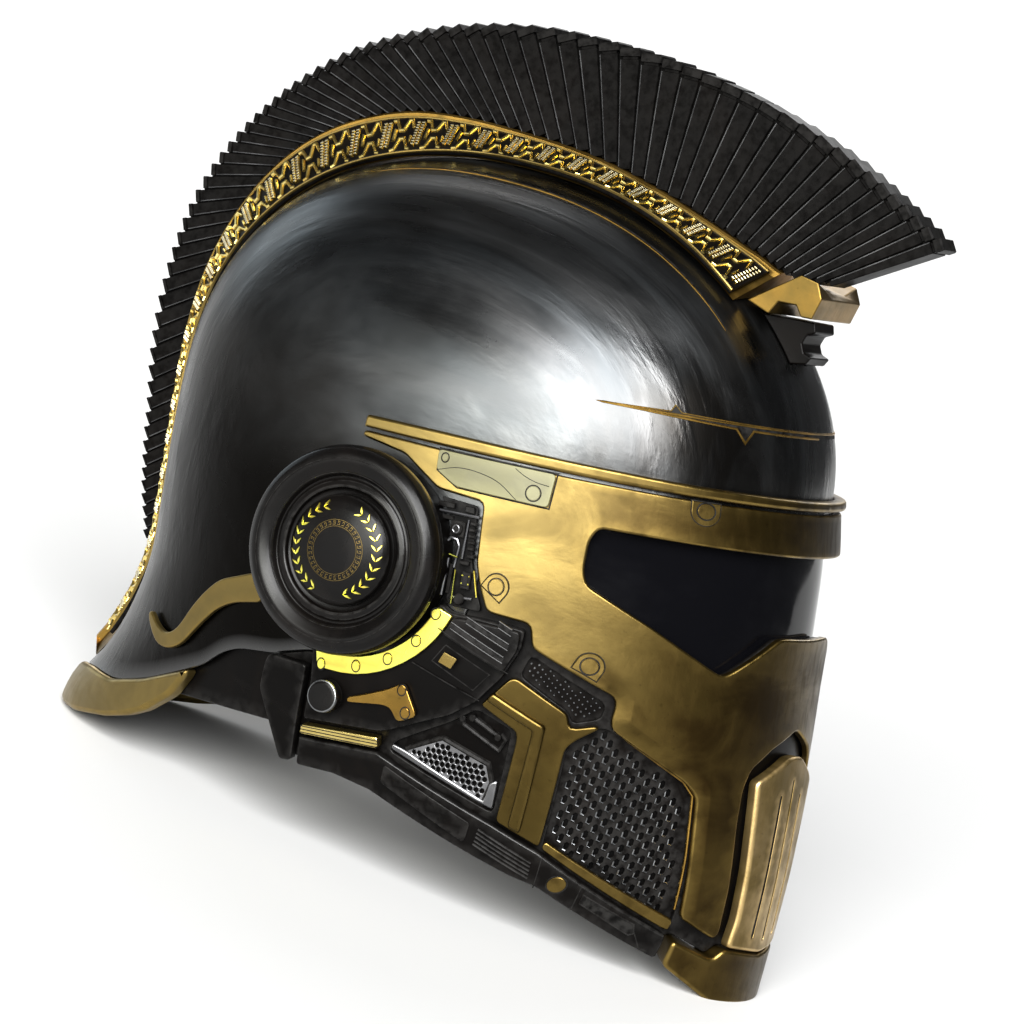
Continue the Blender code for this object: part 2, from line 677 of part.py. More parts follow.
def make_crest(shop):
    """Blades fanned over the ridge, each fused to the next by a narrower web."""
    pitch = 1 / (BLADE_COUNT - 0.4)
    marks = []
    for blade in range(BLADE_COUNT):
        marks.append((blade * pitch, True))
        marks.append(((blade + 0.6) * pitch, True))
        if blade < BLADE_COUNT - 1:
            marks.append(((blade + 0.7) * pitch, False))
    share = np.array([mark[0] for mark in marks])
    wide = np.array([mark[1] for mark in marks])
    angle = BLADE_ANGLES[0] + (BLADE_ANGLES[1] - BLADE_ANGLES[0]) * share
    places, normals = over_the_head(angle)
    foot = places + (rail_height(angle) + SEAT_GAP + 0.2 * MM)[:, None] * normals
    lean = np.radians(along(CREST, angle, 2))
    way = np.stack([0 * lean, -np.cos(lean), np.sin(lean)], axis=-1)
    length = BLADE_LENGTH * along(CREST, angle, 3) / 100 * np.where(wide, 1, 0.96)
    half = np.where(wide, BLADE_HALF_WIDTH, WEB_HALF_WIDTH)
    sideways = half[:, None] * np.array((1.0, 0, 0))
    foot = foot + np.where(wide, 0, 0.4 * MM)[:, None] * way
    tip = foot + length[:, None] * way
    rings = np.stack([foot - sideways, foot + sideways, tip + sideways, tip - sideways], axis=1)
    return lofted(shop, "crest_blades", rings, BLACK)


def make_bracket(shop):
    """The wedge that caps the ridge's front end: an arch over the lug, hollow under the blades."""
    (place,), (normal,) = over_the_head([BRACKET_ANGLE])
    downward = np.array((0, -normal[2], normal[1]))
    side_view = place + BRACKET_SIDE @ np.stack([normal, downward])
    rings = []
    for across, dip in ((-1, 0), (-0.45, BRACKET_DIP), (0.45, BRACKET_DIP), (1, 0)):
        ring = side_view + (across * BRACKET_HALF_WIDTH, 0, 0)
        ring[2:4, 2] -= dip
        rings.append(ring)
    return lofted(shop, "crest_bracket", rings, GOLD)


def make_lug(shop):
    """The dark block under the bracket, seated on the skull, with a round notch in its front."""
    seat, _ = over_the_head(LUG_ANGLES)
    outline = [(-y + SEAT_GAP - FACET_SAG, z) for _, y, z in seat]
    front, low, high = -seat[-1, 1] + LUG_DEPTH, seat[-1, 2], seat[0, 2]
    middle, notch = (high + low) / 2, (high - low) * 0.28
    outline.append((front - 2 * MM, low + 1 * MM))
    for turn in np.radians((270, 225, 180, 135, 90)):
        outline.append((front + notch * np.cos(turn), middle + notch * np.sin(turn)))
    outline.append((front - 1 * MM, high))
    return extruded(shop, "crest_lug", outline[::-1], LUG_HALF_WIDTH, BLACK)


def make_grille(shop, name, opening, scale):
    """A pierced sheet behind an opening of the frame, with staggered slots."""
    region = flat(opening)
    rim = moved_in(region, 1 * MM)
    low, high = rim.min(axis=0), rim.max(axis=0)
    lean = np.radians(-32)
    long_way = scale * SLOT_LENGTH / 2 * np.array((np.cos(lean), np.sin(lean)))
    short_way = scale * SLOT_WIDTH / 2 * np.array((-np.sin(lean), np.cos(lean)))
    pitch = scale * GRILLE_PITCH
    slots = []
    for line, up in enumerate(np.arange(low[1], high[1], pitch * 0.8)):
        for across in np.arange(low[0] - pitch * (line % 2) / 2, high[0], pitch):
            middle = np.array((across, up))
            slot = middle + np.array((-long_way, short_way, long_way, -short_way))
            if inside(slot, rim).all():
                slots.append(slot)
    lift = -(FRAME_WALL + LAYER_GAP + MESH_WALL)
    return plate(shop, name, opening, lift, MESH_WALL, MESH, slots, gap=-GRILLE_LAP)


def make_face(shop):
    """Faceplate, visor, brow lip, the frame behind them and the grilles in its openings."""
    openings = [CHEEK_OPENING, TEMPLE_OPENING, JAW_OPENING]
    upper = [row for row in SKULL_EDGE if row[0] <= 108]
    frame = whole(upper + FRAME_EDGE)
    visor_hole = flat(whole(VISOR))
    cuts = [moved_in(visor_hole, -0.5 * MM)]
    for rows in openings:
        cuts.append(flat(rows))
        cuts.append(flat(rows) * (-1, 1))
    plate(shop, "face_frame", frame, -FRAME_WALL, FRAME_WALL, BLACK, cuts, JOINT_GAP, 20 * MM)
    plate(
        shop, "faceplate", whole(FACEPLATE), LAYER_GAP, PLATE_WALL, GOLD, [visor_hole], step=15 * MM
    )
    lens_lift = -(FRAME_WALL + LAYER_GAP + LENS_WALL)
    plate(shop, "visor_lens", whole(VISOR), lens_lift, LENS_WALL, GLASS, gap=-4 * MM)
    plate(shop, "brow_lip", whole(BROW_LIP), LAYER_GAP, LIP_WALL, GOLD)
    grilles = zip(("cheek_grille", "temple_grille", "jaw_grille"), openings, (1, 0.55, 0.9))
    for name, rows, scale in grilles:
        shop.add_left(make_grille(shop, name + "_right", rows, scale))
    shop.add_left(plate(shop, "cheek_strut_right", CHEEK_STRUT, LAYER_GAP, PLATE_WALL, GOLD))
    insert_lift = PLATE_WALL + 2 * LAYER_GAP
    shop.add_left(
        plate(shop, "temple_insert_right", TEMPLE_INSERT, insert_lift, 1.2 * MM, KHAKI)
    )


def make_jaw(shop):
    shop.add_left(plate(shop, "jaw_bar_right", JAW_BAR, LAYER_GAP, BAR_WALL, BLACK))
    shop.add_left(plate(shop, "jaw_fins_right", JAW_FINS, LAYER_GAP, BAR_WALL + 1 * MM, BRIGHT))
    shop.add_left(plate(shop, "rear_tab_right", REAR_TAB, LAYER_GAP, BAR_WALL + 1 * MM, BLACK))
    collar_lift = RIM_PROUD - RIM_WALL - LAYER_GAP - 2.5 * MM
    shop.add_left(plate(shop, "neck_collar_right", COLLAR, collar_lift, 2.5 * MM, BLACK))


def make_chin(shop):
    slots = []
    for angle, top, bottom in CHIN_SLOTS:
        (across, high), (_, low) = flat([(angle, top), (angle, bottom)])
        half = CHIN_SLOT_WIDTH / 2
        slots.append(np.array([
            (across - half, low), (across + half, low), (across + half, high),
            (across - half, high),
        ]))
    plate(shop, "chin_plate", whole(CHIN_PLATE), LAYER_GAP, CHIN_WALL, GOLD, slots)
    foot_lift = CHIN_FOOT_PROUD - CHIN_FOOT_WALL
    return plate(shop, "chin_foot", whole(CHIN_FOOT), foot_lift, CHIN_FOOT_WALL, GOLD, gap=0)


def make_ear_base(shop):
    """A ring whose back follows the skull, so that the flat disc stands on a curved side."""
    turn = np.linspace(0, 2 * math.pi, 24, endpoint=False)
    face = HALF_WIDTH + EAR_STANDOFF
    rings = []
    foot = EAR_RADIUS - 2.5 * MM
    for radius, seated in ((EAR_BORE, True), (EAR_BORE, False), (foot, False), (foot, True)):
        places = np.stack([0 * turn, -radius * np.cos(turn), radius * np.sin(turn)], axis=-1)
        if seated:
            skull = meet(places, np.broadcast_to((-1.0, 0, 0), places.shape))
            places[:, 0] = skull[:, 0] - LAYER_GAP
        else:
            places[:, 0] = -face
        rings.append(places)
    return lofted(shop, "ear_base_right", np.stack(rings, axis=1), BLACK, closed=True)


def make_ears(shop):
    shop.add_left(make_ear_base(shop))
    seat = 0.55 * DISC_DEPTH
    disc = [
        (0, seat), (CAP_RADIUS + 1 * MM, seat), (CAP_RADIUS + 4 * MM, 0.75 * DISC_DEPTH),
        (CAP_RADIUS + 9 * MM, DISC_DEPTH), (EAR_RADIUS - 6 * MM, DISC_DEPTH),
        (EAR_RADIUS - 1.5 * MM, 0.8 * DISC_DEPTH), (EAR_RADIUS, 0.5 * DISC_DEPTH),
        (EAR_RADIUS - 3 * MM, 0), (0, 0),
    ]
    cap = [
        (0, CAP_DEPTH), (0.56 * CAP_RADIUS, 0.93 * CAP_DEPTH), (0.84 * CAP_RADIUS, 0.75 * CAP_DEPTH),
        (CAP_RADIUS, 0.36 * CAP_DEPTH), (CAP_RADIUS, 0), (0, 0),
    ]
    for side, sign in (("right", -1), ("left", 1)):
        back = HALF_WIDTH + EAR_STANDOFF + SEAT_GAP
        turned(shop, "ear_disc_" + side, disc, BLACK, (sign * back, 0, 0))
        turned(shop, "ear_cap_" + side, cap, BLACK, (sign * (back + seat + SEAT_GAP), 0, 0))


def make_ear_trim(shop):
    """The plate below the ear cover and what stands on it."""
    clear = EAR_RADIUS - 1 * MM
    mount = ear_arc(clear, -108, -18) + MOUNT_EDGE
    shop.add_left(plate(shop, "mount_plate_right", mount, LAYER_GAP, MOUNT_WALL, BLACK))
    top = 2 * LAYER_GAP + MOUNT_WALL
    strip = ear_arc(clear, -104, -20) + ear_arc(clear + STRIP_WIDTH, -20, -100)
    shop.add_left(plate(shop, "ear_strip_right", strip, top, 1.8 * MM, BRIGHT))
    vent = ear_arc(clear + STRIP_WIDTH + SEAT_GAP, -30, -20, 3) + VENT_EDGE
    shop.add_left(plate(shop, "vent_plate_right", vent, top, VENT_WALL, BLACK))
    arm = [
        (86.5, -36.4), (82.7, -34.9), (77.1, -32.2), (73.1, -29.3), (69, -37.6), (73.6, -40.4),
        (75.5, -37), (77.5, -36.7), (86.5, -38.2),
    ]
    shop.add_left(plate(shop, "dial_arm_right", arm, top, 1.8 * MM, GOLD))
    port = ear_arc(clear, -16, 42) + PORT_EDGE
    shop.add_left(plate(shop, "port_panel_right", port, LAYER_GAP, 1.6 * MM, BLACK))
    shop.add_left(plate(shop, "nape_tendril_right", TENDRIL, LAYER_GAP, 2.4 * MM, GOLD))
    place = rolled(flat([(91.5, -37.6)]), top + 1 * MM)[0]
    dial = [
        (0, DIAL_DEPTH), (0.8 * DIAL_RADIUS, DIAL_DEPTH), (DIAL_RADIUS, 0.8 * DIAL_DEPTH),
        (DIAL_RADIUS, 0), (0, 0),
    ]
    for side, sign in (("right", 1), ("left", -1)):
        spot = (sign * place[0], place[1], place[2])
        turned(shop, "jaw_dial_" + side, dial, BLACK, spot, steps=16)


def make_rim(shop):
    return plate(
        shop, "nape_rim", whole(RIM, 180), RIM_PROUD - RIM_WALL, RIM_WALL, GOLD, gap=0, step=12 * MM
    )


def floor_line():
    """The floor's place under the upright helmet: its pitch, and a point on it at the chin."""
    chin = Vector((0, -FRONT_REACH, -CHIN_DROP + FOOT_FLAT))
    nape = Vector((0, NAPE_REACH, -NAPE_DROP + FOOT_FLAT))
    run = nape - chin
    return math.atan2(run.z, run.y), chin


def stand(shop, feet):
    """Cuts the feet flat along the floor and tips the helmet back onto them."""
    pitch, chin = floor_line()
    size = 8 * FRONT_REACH
    bpy.ops.mesh.primitive_cube_add(size=size)
    cutter = bpy.context.object
    cutter.name = "floor_cut"
    for collection in list(cutter.users_collection):
        collection.objects.unlink(cutter)
    shop.cutters.objects.link(cutter)
    cutter.parent = shop.rest
    cutter.rotation_euler = (pitch, 0, 0)
    cutter.location = chin - cutter.rotation_euler.to_matrix() @ Vector((0, 0, size / 2))
    cutter.hide_render = True
    cutter.display_type = "WIRE"
    for foot in feet:
        cut = foot.modifiers.new("flat", "BOOLEAN")
        cut.operation = "DIFFERENCE"
        cut.solver = "EXACT"
        cut.object = cutter
    shop.rest.rotation_euler = (-pitch, 0, 0)
    bpy.context.view_layer.update()
    graph = bpy.context.evaluated_depsgraph_get()
    corners = []
    for piece in shop.parts.objects:
        if piece.type != "EMPTY":
            seen = piece.evaluated_get(graph)
            mesh = seen.to_mesh()
            corners += [seen.matrix_world @ vertex.co for vertex in mesh.vertices]
            seen.to_mesh_clear()
    corners = np.array([tuple(corner) for corner in corners])
    low, high = corners.min(axis=0), corners.max(axis=0)
    floor = (shop.rest.matrix_world @ chin).z
    shop.rest.location = (0, -(low[1] + high[1]) / 2, -floor)


def main():
    shop = Workshop()
    make_skull(shop)
    make_ridge(shop)
    shop.add_left(make_key_band(shop))
    shop.add_left(make_key_relief(shop))
    make_crest(shop)
    make_bracket(shop)
    make_lug(shop)
    make_face(shop)
    make_jaw(shop)
    foot = make_chin(shop)
    make_ears(shop)
    make_ear_trim(shop)
    rim = make_rim(shop)
    stand(shop, (foot, rim))


main()
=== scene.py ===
"""Looks of the Roman helmet: smooth surfaces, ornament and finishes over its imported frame.

The helmet is modelled upright, with the origin where the line through both ears crosses the
middle plane, the face towards -Y and the wearer's left towards +X, and is then tipped back onto
its chin and nape, as the frame stands. Lengths are in metres. A place on the head form is an
angle round the upright axis, in degrees from the front towards the wearer's right, and a height,
in percent of CROWN_RISE above the ears and of CHIN_DROP below them.
"""

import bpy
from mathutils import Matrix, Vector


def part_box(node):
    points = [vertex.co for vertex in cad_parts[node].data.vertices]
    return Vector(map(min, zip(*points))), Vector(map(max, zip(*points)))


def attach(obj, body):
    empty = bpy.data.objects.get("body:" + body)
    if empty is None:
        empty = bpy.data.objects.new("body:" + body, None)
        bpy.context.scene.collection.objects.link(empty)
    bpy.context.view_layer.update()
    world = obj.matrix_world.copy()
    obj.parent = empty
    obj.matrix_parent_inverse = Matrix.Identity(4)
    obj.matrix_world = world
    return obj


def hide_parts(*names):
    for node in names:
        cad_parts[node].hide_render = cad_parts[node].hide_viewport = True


bl_info = {
    "name": "Roman helmet looks",
    "version": (1, 0, 0),
    "blender": (4, 5, 0),
    "location": "3D View > Sidebar > Helmet",
    "description": "Builds the visible surfaces, ornament and finishes of a Roman helmet",
    "category": "Object",
}

import math

import bmesh
import bpy
import numpy as np
from mathutils import Matrix, Vector
from mathutils.geometry import delaunay_2d_cdt

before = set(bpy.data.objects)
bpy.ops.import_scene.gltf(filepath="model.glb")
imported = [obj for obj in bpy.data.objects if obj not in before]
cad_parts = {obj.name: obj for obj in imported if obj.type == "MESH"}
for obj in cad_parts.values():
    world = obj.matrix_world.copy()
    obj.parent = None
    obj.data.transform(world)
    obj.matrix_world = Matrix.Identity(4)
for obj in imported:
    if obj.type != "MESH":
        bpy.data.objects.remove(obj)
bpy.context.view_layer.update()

MM = 0.001
# The head form is found by halving, along rays that start above the ears or under the skull
HALVINGS = 34
UNDER_DOME = 40 * MM
UNDER_SKULL = 60 * MM
# How far wear reaches in from an edge, how deep ornament is let in, and a cord's step
WORN_WIDTH = 2.5 * MM
SUNK = 0.2 * MM
STRAND_STEP = 2.5 * MM
# Points that round a corner, and how near they come to it on a turned profile
CORNER_POINTS, PROFILE_POINTS = 7, 6
PROFILE_REACH = 0.72

# Head form, as the frame's solids have it
FRONT_REACH = 158 * MM
BACK_REACH = 141 * MM
HALF_WIDTH = 107 * MM
CROWN_RISE = 168 * MM
CHIN_DROP = 162 * MM
ROUNDNESS = 2.25
FORM = np.array([
    # height, front, side, back
    (-102, 100.0, 61.7, 122.0),
    (-80.0, 101.2, 76.6, 123.0),
    (-64.2, 101.8, 86.0, 124.5),
    (-55.6, 101.8, 89.3, 121.0),
    (-46.3, 101.7, 92.5, 112.5),
    (-37.0, 101.4, 95.3, 106.5),
    (-28.0, 101.0, 97.7, 102.5),
    (-18.5, 100.5, 99.1, 100.0),
    (0, 100, 100, 99.6),
    (16, 99, 99.5, 100),
    (30, 96.5, 98.1, 100),
]) / 100
DOME_SPRING_FRONT, DOME_SPRING_BACK = 0.298, 0.238
DOME_POWER_FRONT, DOME_POWER_BACK = 2.0, 2.4
CREST = np.array([
    # angle over the head, rail height, lean, length
    (44.4, 143, 27, 86),
    (47.5, 92, 36, 97),
    (53.6, 61, 50, 97),
    (61.8, 43, 68, 93),
    (70.5, 40, 86, 90),
    (79.0, 46, 103, 87),
    (87.0, 54, 116, 87),
    (94.7, 65, 127, 84),
    (102.2, 79, 139, 78),
    (108.7, 92, 150, 71),
    (115.2, 98, 162, 64),
    (121.1, 100, 173, 58),
    (127.7, 95, 184, 53),
    (134.5, 85, 194, 48),
    (141.8, 74, 202, 41),
    (149.2, 64, 208, 36),
    (155.8, 57, 211, 32),
    (163.3, 53, 212, 27),
    (171.4, 51, 212, 24),
    (179.6, 51, 213, 19),
    (190.7, 52, 216, 8),
    (197.0, 50, 216, 8),
    (204.6, 46, 216, 8),
    (210.0, 40, 216, 8),
])
BLADE_SPREAD = np.array([
    # share of the blades, angle over the head
    (0, 44.6), (0.094, 53.2), (0.228, 71.7), (0.372, 95.3), (0.501, 112.4), (0.683, 133.4),
    (0.768, 146.1), (0.869, 165.3), (1, 190),
])
FOOT_RUN, FOOT_RISE = 334.0, 59.4
PITCH = math.atan2(FOOT_RISE, FOOT_RUN)
TIPPED = np.array(Matrix.Rotation(PITCH, 3, "X"))
EAR_AXIS = sum(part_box("ear_disc_right"), Vector()) / 2
EAR_PLACE = np.array((0, EAR_AXIS.y, EAR_AXIS.z))

# Layers of the frame's solids
SKULL_WALL = 3 * MM
FRAME_WALL = 2 * MM
PLATE_WALL = 3 * MM
LENS_WALL = 2.5 * MM
MESH_WALL = 1.6 * MM
LAYER_GAP = 1 * MM
RIDGE_RISE = 22.6 * MM
RAIL_HALF_WIDTH = 11 * MM
RAIL_DEPTH = 3 * MM
BAND_HALF_WIDTH = 23 * MM
BAND_WALL = 2.2 * MM
RIDGE_ANGLES = (49.5, 206.3)
BAND_ANGLES = (50.5, 204.3)
BAND_FLARE = 6 * MM
# The band flares in front of this angle over the head, fully from a span of degrees further on
FLARE_START, FLARE_SPAN = 95, 40
EAR_RADIUS = 43.5 * MM
EAR_STANDOFF = 7 * MM
STRIP_WIDTH = 8 * MM
MOUNT_WALL = 4 * MM
RIM_PROUD = 2.5 * MM
RIM_WALL = 6.5 * MM
CHIN_FOOT_PROUD = 6 * MM
CHIN_FOOT_WALL = 13.5 * MM

# The visible skull: its rows below and above the dome's spring, heights of the spring and of the
# point that the rows above are seen from, and its lip: way in, and which way its normal leans
SKULL_ROWS_BELOW, SKULL_ROWS_ABOVE = 26, 60
SKULL_SPRING, SKULL_CENTRE = 30, 24
SKULL_LIP = [(0.5 * MM, 1), (2.5 * MM, -1)]

# Outlines on the head form: angle, height
SKULL_EDGE = [
    (0, 23.8), (12, 23.8), (24, 23.8), (36, 23.8), (48, 23.8), (60, 23.8), (66, -25), (76, -25.5),
    (88, -26.5), (100, -28.4), (108, -31.2), (118, -32.4), (123, -34.8), (128, -39.8),
    (136, -44.2), (143, -48), (151, -51), (160, -50.5), (168, -51.5), (174, -54), (180, -54.5),
]
RIM = [
    (180, -54.7), (174, -54.2), (168, -51.7), (160, -50.7), (151, -51.2), (143, -48.2),
    (136, -44.4), (131, -41.9), (131.4, -43.8), (135, -50.2), (141.2, -56.4), (145.6, -59.2),
    (151, -61.4), (160, -63.4), (170, -63.4), (180, -62.6),
]
FACEPLATE = [
    (0, 27.6), (29.5, 27.7), (51, 28.1), (75, 28.7), (94.4, 29.4), (94.6, 27.4), (83.3, 25.2),
    (74.3, 18.6), (64.3, 17.6), (63.6, 3), (62.2, -2.1), (60.1, -8.1), (58.7, -8.8),
    (51.6, -9.5), (50.7, -14.6), (49.9, -15.6), (36, -23.6), (35.4, -25.2), (35.6, -29.9),
    (35, -32.3), (22.1, -42.8), (19.9, -45.9), (17, -77.9), (10.7, -82.8), (9.8, -81.2),
    (10.3, -69), (11.7, -51.5), (11.9, -43), (11, -37.7), (6.9, -32.5), (0, -27.6),
]
VISOR = [
    (0, 16.7), (26, 16.9), (43, 17), (44.2, 13.6), (44.3, 6.5), (43.4, 3), (32.5, -4.4),
    (20.7, -13.8), (19.5, -14.2), (18.4, -13.4), (9.5, -3.6), (7.4, -3.4), (0, -3.6),
]
BROW_LIP = [
    (0, 31.3), (28, 31.5), (51, 32.1), (76, 33), (94, 33.3), (94.2, 29.7), (75, 29), (51, 28.4),
    (29.5, 28), (0, 27.9),
]
# The frame follows the skull's edge up to this angle, and then the rows of FRAME_EDGE
FRAME_BACK = 108
FRAME_EDGE = [
    (108.5, -33), (109.3, -40), (104, -56.8), (101, -57.2), (89.2, -57.4), (79, -59.2),
    (44.3, -73), (39, -74.6), (18, -88.4), (17.3, -82.9), (10.3, -87.6), (8.8, -84.9), (0, -86.9),
]
CHEEK_OPENING = [
    (36.5, -32.2), (34.9, -32.5), (21.9, -42.9), (19.8, -46), (17.3, -78), (17.6, -81.5),
    (40.5, -65.6), (41, -39.1), (39.6, -36.1),
]
TEMPLE_OPENING = [
    (50.4, -17.2), (36.6, -25.9), (36.8, -30), (41.2, -32.5), (42.1, -29.8), (51.6, -22.9),
]
JAW_OPENING = [
    (75, -46.8), (63, -38.4), (58.2, -33.6), (50.9, -37.2), (50.7, -59.6), (76, -49.2),
]
CHEEK_SIDE = [
    (35.2, -24), (35, -29.9), (34.4, -31.8), (22.1, -42), (20.3, -45), (17.4, -78), (16, -80),
]
CHEEK_STRUT = [
    (57.7, -31.7), (53.2, -23.4), (51.8, -23), (42.1, -29.6), (41.3, -33), (37.2, -31.1),
    (36.5, -32.1), (39.8, -36.2), (41.1, -38.7), (40.8, -65.4), (49.8, -60.8), (49.7, -39.3),
    (50, -36.9),
]
JAW_BAR = [
    (99.3, -50.4), (78.1, -49.5), (50.2, -61.4), (40.8, -66), (18, -82.2), (17.8, -84),
    (18, -89.4), (39, -75.6), (44.3, -74), (79, -60.1), (89.2, -58.2), (100, -58.2),
]
JAW_FINS = [(98.6, -46.7), (78, -45.3), (77.6, -48.7), (99, -49.7)]
REAR_TAB = [
    (108, -30.7), (98, -31.3), (101, -57.4), (104.5, -57.7), (110.3, -40.2), (109, -32.8),
]
MOUNT_EDGE = [
    (66.5, -10), (60.5, -10), (52.6, -10.6), (51.9, -11.2), (52, -16), (54.4, -24),
    (58.3, -31.4), (63, -36.2), (75.4, -43.3), (78.2, -44.3), (98.4, -45.7), (97, -34.6),
]
VENT_EDGE = [(60.5, -10.6), (52.9, -11), (52.4, -11.6), (52.4, -16), (54.2, -22.4)]
PORT_EDGE = [
    (73.4, 17.6), (65, 16.8), (64.3, 3), (62.9, -2.1), (60.8, -8.1), (61, -9), (67, -9),
]
TEMPLE_INSERT = [(75.3, 28.6), (75.1, 23.3), (70.1, 20), (51.8, 19.3), (51.2, 28)]
TENDRIL = [
    (112.5, -10.6), (124, -15.8), (127.3, -19.4), (130.6, -24.3), (133.7, -30.4), (135.5, -32.7),
    (137.7, -34), (140.5, -32.8), (143.9, -29.3), (144.7, -31.4), (142.1, -35.6), (139.9, -38),
    (136.6, -38.5), (133, -36.3), (128.3, -29.6), (123.8, -24.1), (119.4, -21.2), (111.5, -19.2),
]
COLLAR = [
    (99, -30), (118, -28), (138, -40), (141, -46), (137, -50), (120, -50.5), (99, -51),
]
CHIN_PLATE = [
    (0, -33.9), (2.5, -34.2), (10.3, -40.6), (8.7, -63.6), (8.1, -77), (8.5, -84.6), (0, -86.6),
]
CHIN_FOOT = [
    (0, -86.9), (8.8, -84.9), (10.3, -87.6), (17, -83.3), (17, -90.2), (8.5, -99.2), (0, -100),
]
CHIN_SLOTS = [(-3.6, -44, -82), (0, -40, -83), (3.6, -44, -82)]
DIAL_ARM = [
    (86.5, -36.4), (82.7, -34.9), (77.1, -32.2), (73.1, -29.3), (69, -37.6), (73.6, -40.4),
    (75.5, -37), (77.5, -36.7), (86.5, -38.2),
]

BROW_CUT = [
    (0, 47.5), (17, 47.7), (31.5, 48), (32.6, 49.6), (33.4, 48), (46.4, 47.4), (38.8, 47.2),
    (21.7, 46.3), (20.1, 43.2), (18.3, 46.3), (0, 46.2),
]
# The row at the cut's hind tip, and the cut beside the ridge: its ends, and how far aside it is
BROW_CUT_TIP = 5
CROWN_CUT = (-57 * MM, 115 * MM)
CROWN_CUT_ASIDE = 41 * MM
CHEEK_EDGE = [(34, -32.6), (22, -42.6), (20, -46), (18.6, -62), (17.7, -76)]
JAW_MESH = [(72, -48.2), (64.2, -43.4), (54, -47.6), (52.6, -52), (53.4, -58), (71.5, -50)]
JAW_SILL = [
    (75.6, -47.4), (71.8, -48.6), (53.2, -57), (52.8, -52), (51.3, -51), (51, -59), (76, -49),
]
JAW_BRACKET = [(61.1, -36.6), (60.5, -38.6), (52.6, -43.5), (51.7, -40.5), (52.8, -39)]
JAW_BRACKET_ARM = [(58.5, -36.4), (53.2, -39.8)]
JAW_BRACKET_BOLTS = [(60.8, -36.9), (58.8, -36.2), (53.2, -39.9)]
FIN_GAPS = [[(98.5, up), (77.9, up + 0.9)] for up in (-47.4, -48.2, -49)]
STRUT_RIB = [
    (55.6, -27.6), (45.2, -33.6), (44.8, -62.2), (47.2, -61), (47.2, -35.4), (56.4, -30),
]
BAR_RIBS = [
    [(52.3, -63.4), (41.3, -69.2)], [(52.4, -64.4), (41.2, -70.2)], [(52.4, -65.4), (41.1, -71.3)],
    [(52.5, -66.4), (41, -72.3)], [(52.6, -67.3), (40.9, -73.3)],
]
BAR_EDGE = [(99, -50.9), (78.1, -50.1), (50.2, -62), (40.8, -66.7), (18.3, -82.8)]
CHEEK_SILL = [(40.3, -63.4), (40.5, -65.5), (17.9, -81.6), (17.6, -78.6)]
BAR_PANEL = [(75.6, -52.2), (54.2, -62.2), (54.4, -67.5), (76, -57)]
BAR_SEAMS = [
    [(39.9, -66.6), (39.4, -75.6)], [(32.2, -72.6), (32.3, -79.6)],
    [(23.4, -80), (20.9, -86.6), (19.3, -87.4)],
]
BAR_RECESS = [(31.4, -75), (22.9, -80.6), (22.4, -83), (23, -83.6), (31.4, -77.4)]
BAR_BOSS = [(36, -73.6, 3.4)]
PORT_HEAD = (68.4, 10.3)
# Port panel's blocks: angle, height on the head, then width, height and rise in mm
PORT_BLOCKS = [
    (71.5, 15.6, 8, 2.2, 2.0), (66.4, 15.4, 4.4, 2.6, 2.4), (71, 12.6, 6.4, 1.6, 1.4),
    (68.4, 10.3, 7.0, 6.6, 1.2), (65.2, 12.2, 2.8, 1.3, 2.4), (65.2, 10.7, 2.8, 1.3, 2.4),
    (65.1, 9.2, 2.8, 1.3, 2.4), (65, 7.7, 2.8, 1.3, 2.4), (64.9, 6.2, 2.8, 1.3, 2.4),
    (64.6, 4.4, 3.2, 1.5, 2.8), (65.6, 2.6, 4.4, 1.5, 3.2), (64.7, -1.6, 4.2, 7.0, 2.6),
    (64.7, -1.6, 2.6, 4.6, 3.2), (68.2, -2, 1.6, 12, 1.4), (71.9, 9, 1.6, 9, 1.6),
]
PORT_PIPES = [
    [(70.4, 2), (70.3, 6.6), (69.4, 8), (68, 7.7), (67.4, 6.2), (67.7, 1)],
    [(73, 13.9), (64.4, 14)], [(69.3, -6.4), (69.1, 3)], [(66.4, 3.4), (66.4, 13)],
    [(70.2, -3), (70.2, 1)], [(67.2, -6.4), (63, -6)],
]
PORT_LIGHTS = [
    [(67.1, 0.6), (66.8, -8)], [(63.4, 1.2), (62, -5.2)], [(65.6, -0.4), (64, -0.4)],
    [(65.5, -2.4), (63.9, -2.4)], [(69, 4), (67.2, 3.6)],
]
# Clips: angle, height and turn in degrees. Screws: angle, height and radius in mm
CLIPS = [(26.6, 25.0, 90), (58.7, -1.6, -58), (40.5, -16.8, -68)]
GOLD_SCREWS = [(26.6, 25.2, 3.1), (58.7, -1.6, 3.2), (40.5, -16.8, 3.2)]
INSERT_SCREWS = [(73.4, 26.6, 1.6), (54.9, 22.3, 2.9)]
INSERT_ARCS = [
    [(74.5, 23.4), (70.8, 24.7), (65.7, 24.6), (61.3, 23), (57.8, 19.9)],
    [(58.9, 27.4), (57.3, 26.2), (54.6, 25), (52.3, 24.6)],
]
STRIP_SCREWS = [
    (69, -11.1, 2), (72.1, -18.8, 2), (77.7, -24.8, 2), (84.9, -28.3, 2), (93.6, -29.8, 2),
]
ARM_SCREWS = [(73.4, -31.6, 1.9), (71.9, -37.2, 2.2)]
VENT_SLOTS = [
    [(65.3, -13), (54.6, -18.9)], [(62.5, -10.9), (54.1, -15.5)], [(56.5, -10.4), (54, -11.9)],
]
VENT_LINES = [
    [(67.8, -14.3), (53.2, -22)],
    [(65.6, -18), (56.4, -23.1), (58.8, -27.6), (67.8, -22.6), (65.6, -18)],
]
WINDOW = [(65.6, -19.8), (62.9, -20.9), (63.8, -23.6), (66.5, -22.5)]
MOUNT_LINES = [[(72.5, -24.5), (57.6, -30.4)]]
